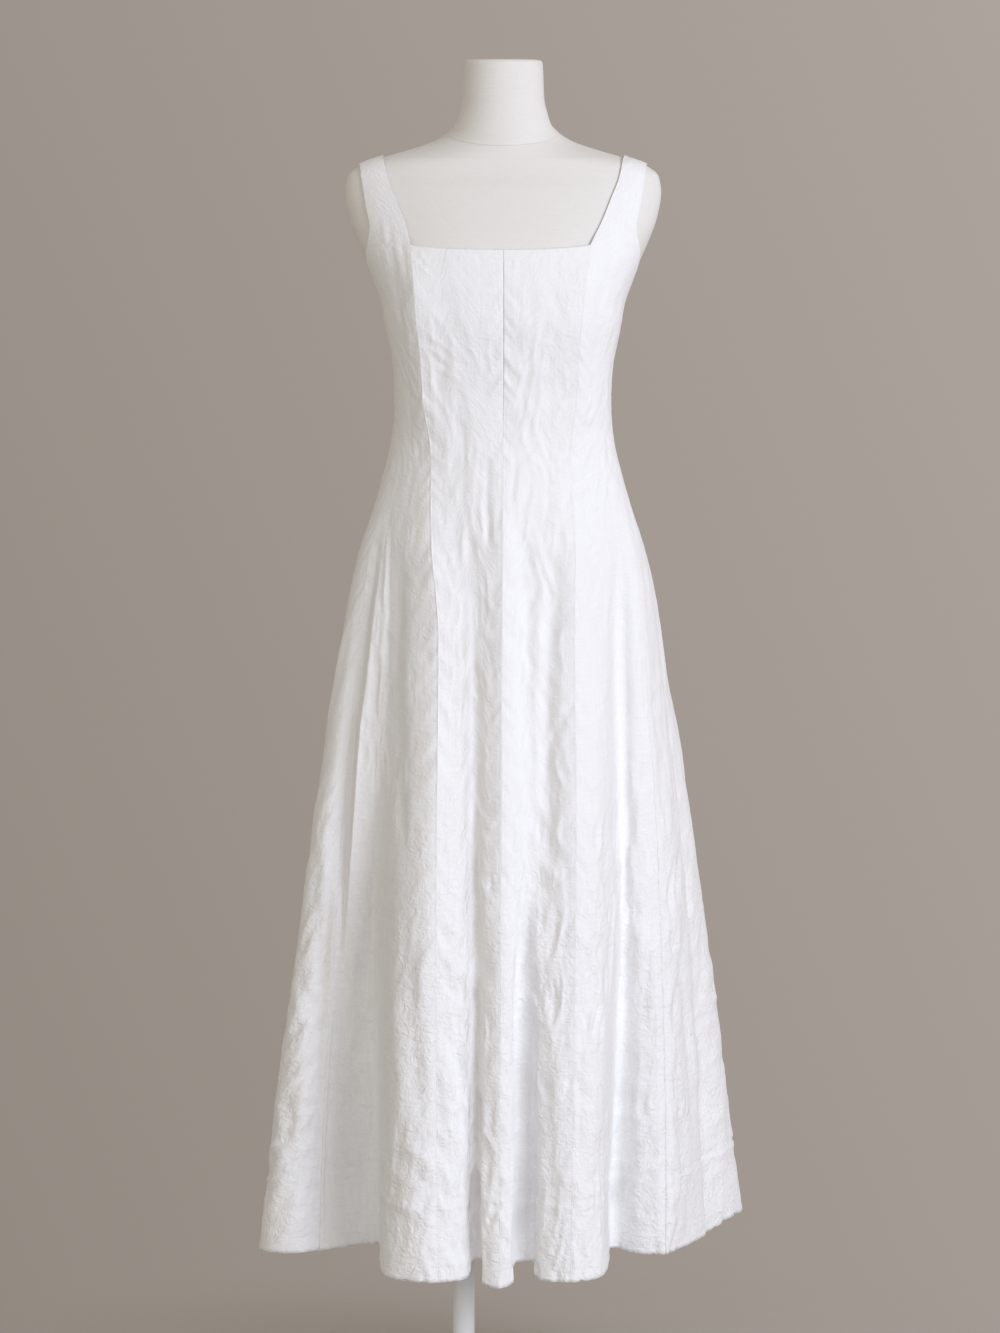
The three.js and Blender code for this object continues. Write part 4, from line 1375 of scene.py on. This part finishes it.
def surround():
    world = bpy.data.worlds.new("taupe surround")
    bpy.context.scene.world = world
    world.use_nodes = True
    tree = world.node_tree
    way = add(tree, "ShaderNodeTexCoord").outputs["Generated"]
    # Lighter towards the main light's side and upwards.
    lit = add(tree, "ShaderNodeVectorMath", {0: way, 1: LIT_WAY}, operation="DOT_PRODUCT").outputs["Value"]
    span = {"Value": lit, "From Min": -LIT_SPAN, "From Max": LIT_SPAN}
    share = add(tree, "ShaderNodeMapRange", span).outputs[0]
    shades = {"Factor": share, 6: linear("8e857d"), 7: linear("b0a7a0")}
    tone = add(tree, "ShaderNodeMix", shades, data_type="RGBA")
    tree.links.new(tone.outputs[2], tree.nodes["Background"].inputs["Color"])


floor()
surround()
print("floor", 2 * FLOOR_RADIUS, "m wide")


# %% [markdown]
# ## Light
# A large soft box stands in front on the viewer's right and models the folds. A weak one near the camera and a weak
# one on the left keep the shaded sides open. A sun lamp would draw hard shadows in every crease, so all three are
# wide area lights.

# %% Three soft boxes
def soft_box(name, place, target, size, watts, colour):
    light = bpy.data.lights.new(name, "AREA")
    light.shape = "DISK"
    light.size = size
    light.energy = watts
    light.color = linear(colour)[:3]
    lamp = bpy.data.objects.new(name, light)
    lamp.location = place
    lamp.rotation_euler = (Vector(target) - Vector(place)).to_track_quat("-Z", "Y").to_euler()
    bpy.context.collection.objects.link(lamp)


soft_box("key", (2.7, -3.1, 1.9), (0, 0, 0.9), 2.7, 117, "e7efff")
soft_box("front", (-0.2, -4.6, 1.7), (0, 0, 0.8), 2.4, 27, "edf3ff")
soft_box("fill", (-3.5, -2.0, 1.5), (0, 0, 0.8), 2.6, 25, "f3f6ea")
print([light.name for light in bpy.data.lights])


# %% [markdown]
# ## Camera
# The picture was taken from the front, level, at about the middle of the dress. A short lens close by would widen
# the hem, so a long one stands four metres back. The Standard view keeps the whites of the cloth as they are.

# %% Camera
CAMERA_BACK, CAMERA_UP, CAMERA_ASIDE = 4.0, 0.874, -0.0036
LENS_MM = 90

lens = bpy.data.cameras.new("camera")
lens.lens = LENS_MM
camera = bpy.data.objects.new("camera", lens)
camera.location = (CAMERA_ASIDE, -CAMERA_BACK, CAMERA_UP)
camera.rotation_euler = (np.pi / 2, 0, 0)
bpy.context.collection.objects.link(camera)
bpy.context.scene.camera = camera
bpy.context.scene.view_settings.view_transform = "Standard"
print("camera", CAMERA_BACK, "m back,", CAMERA_UP, "m up")
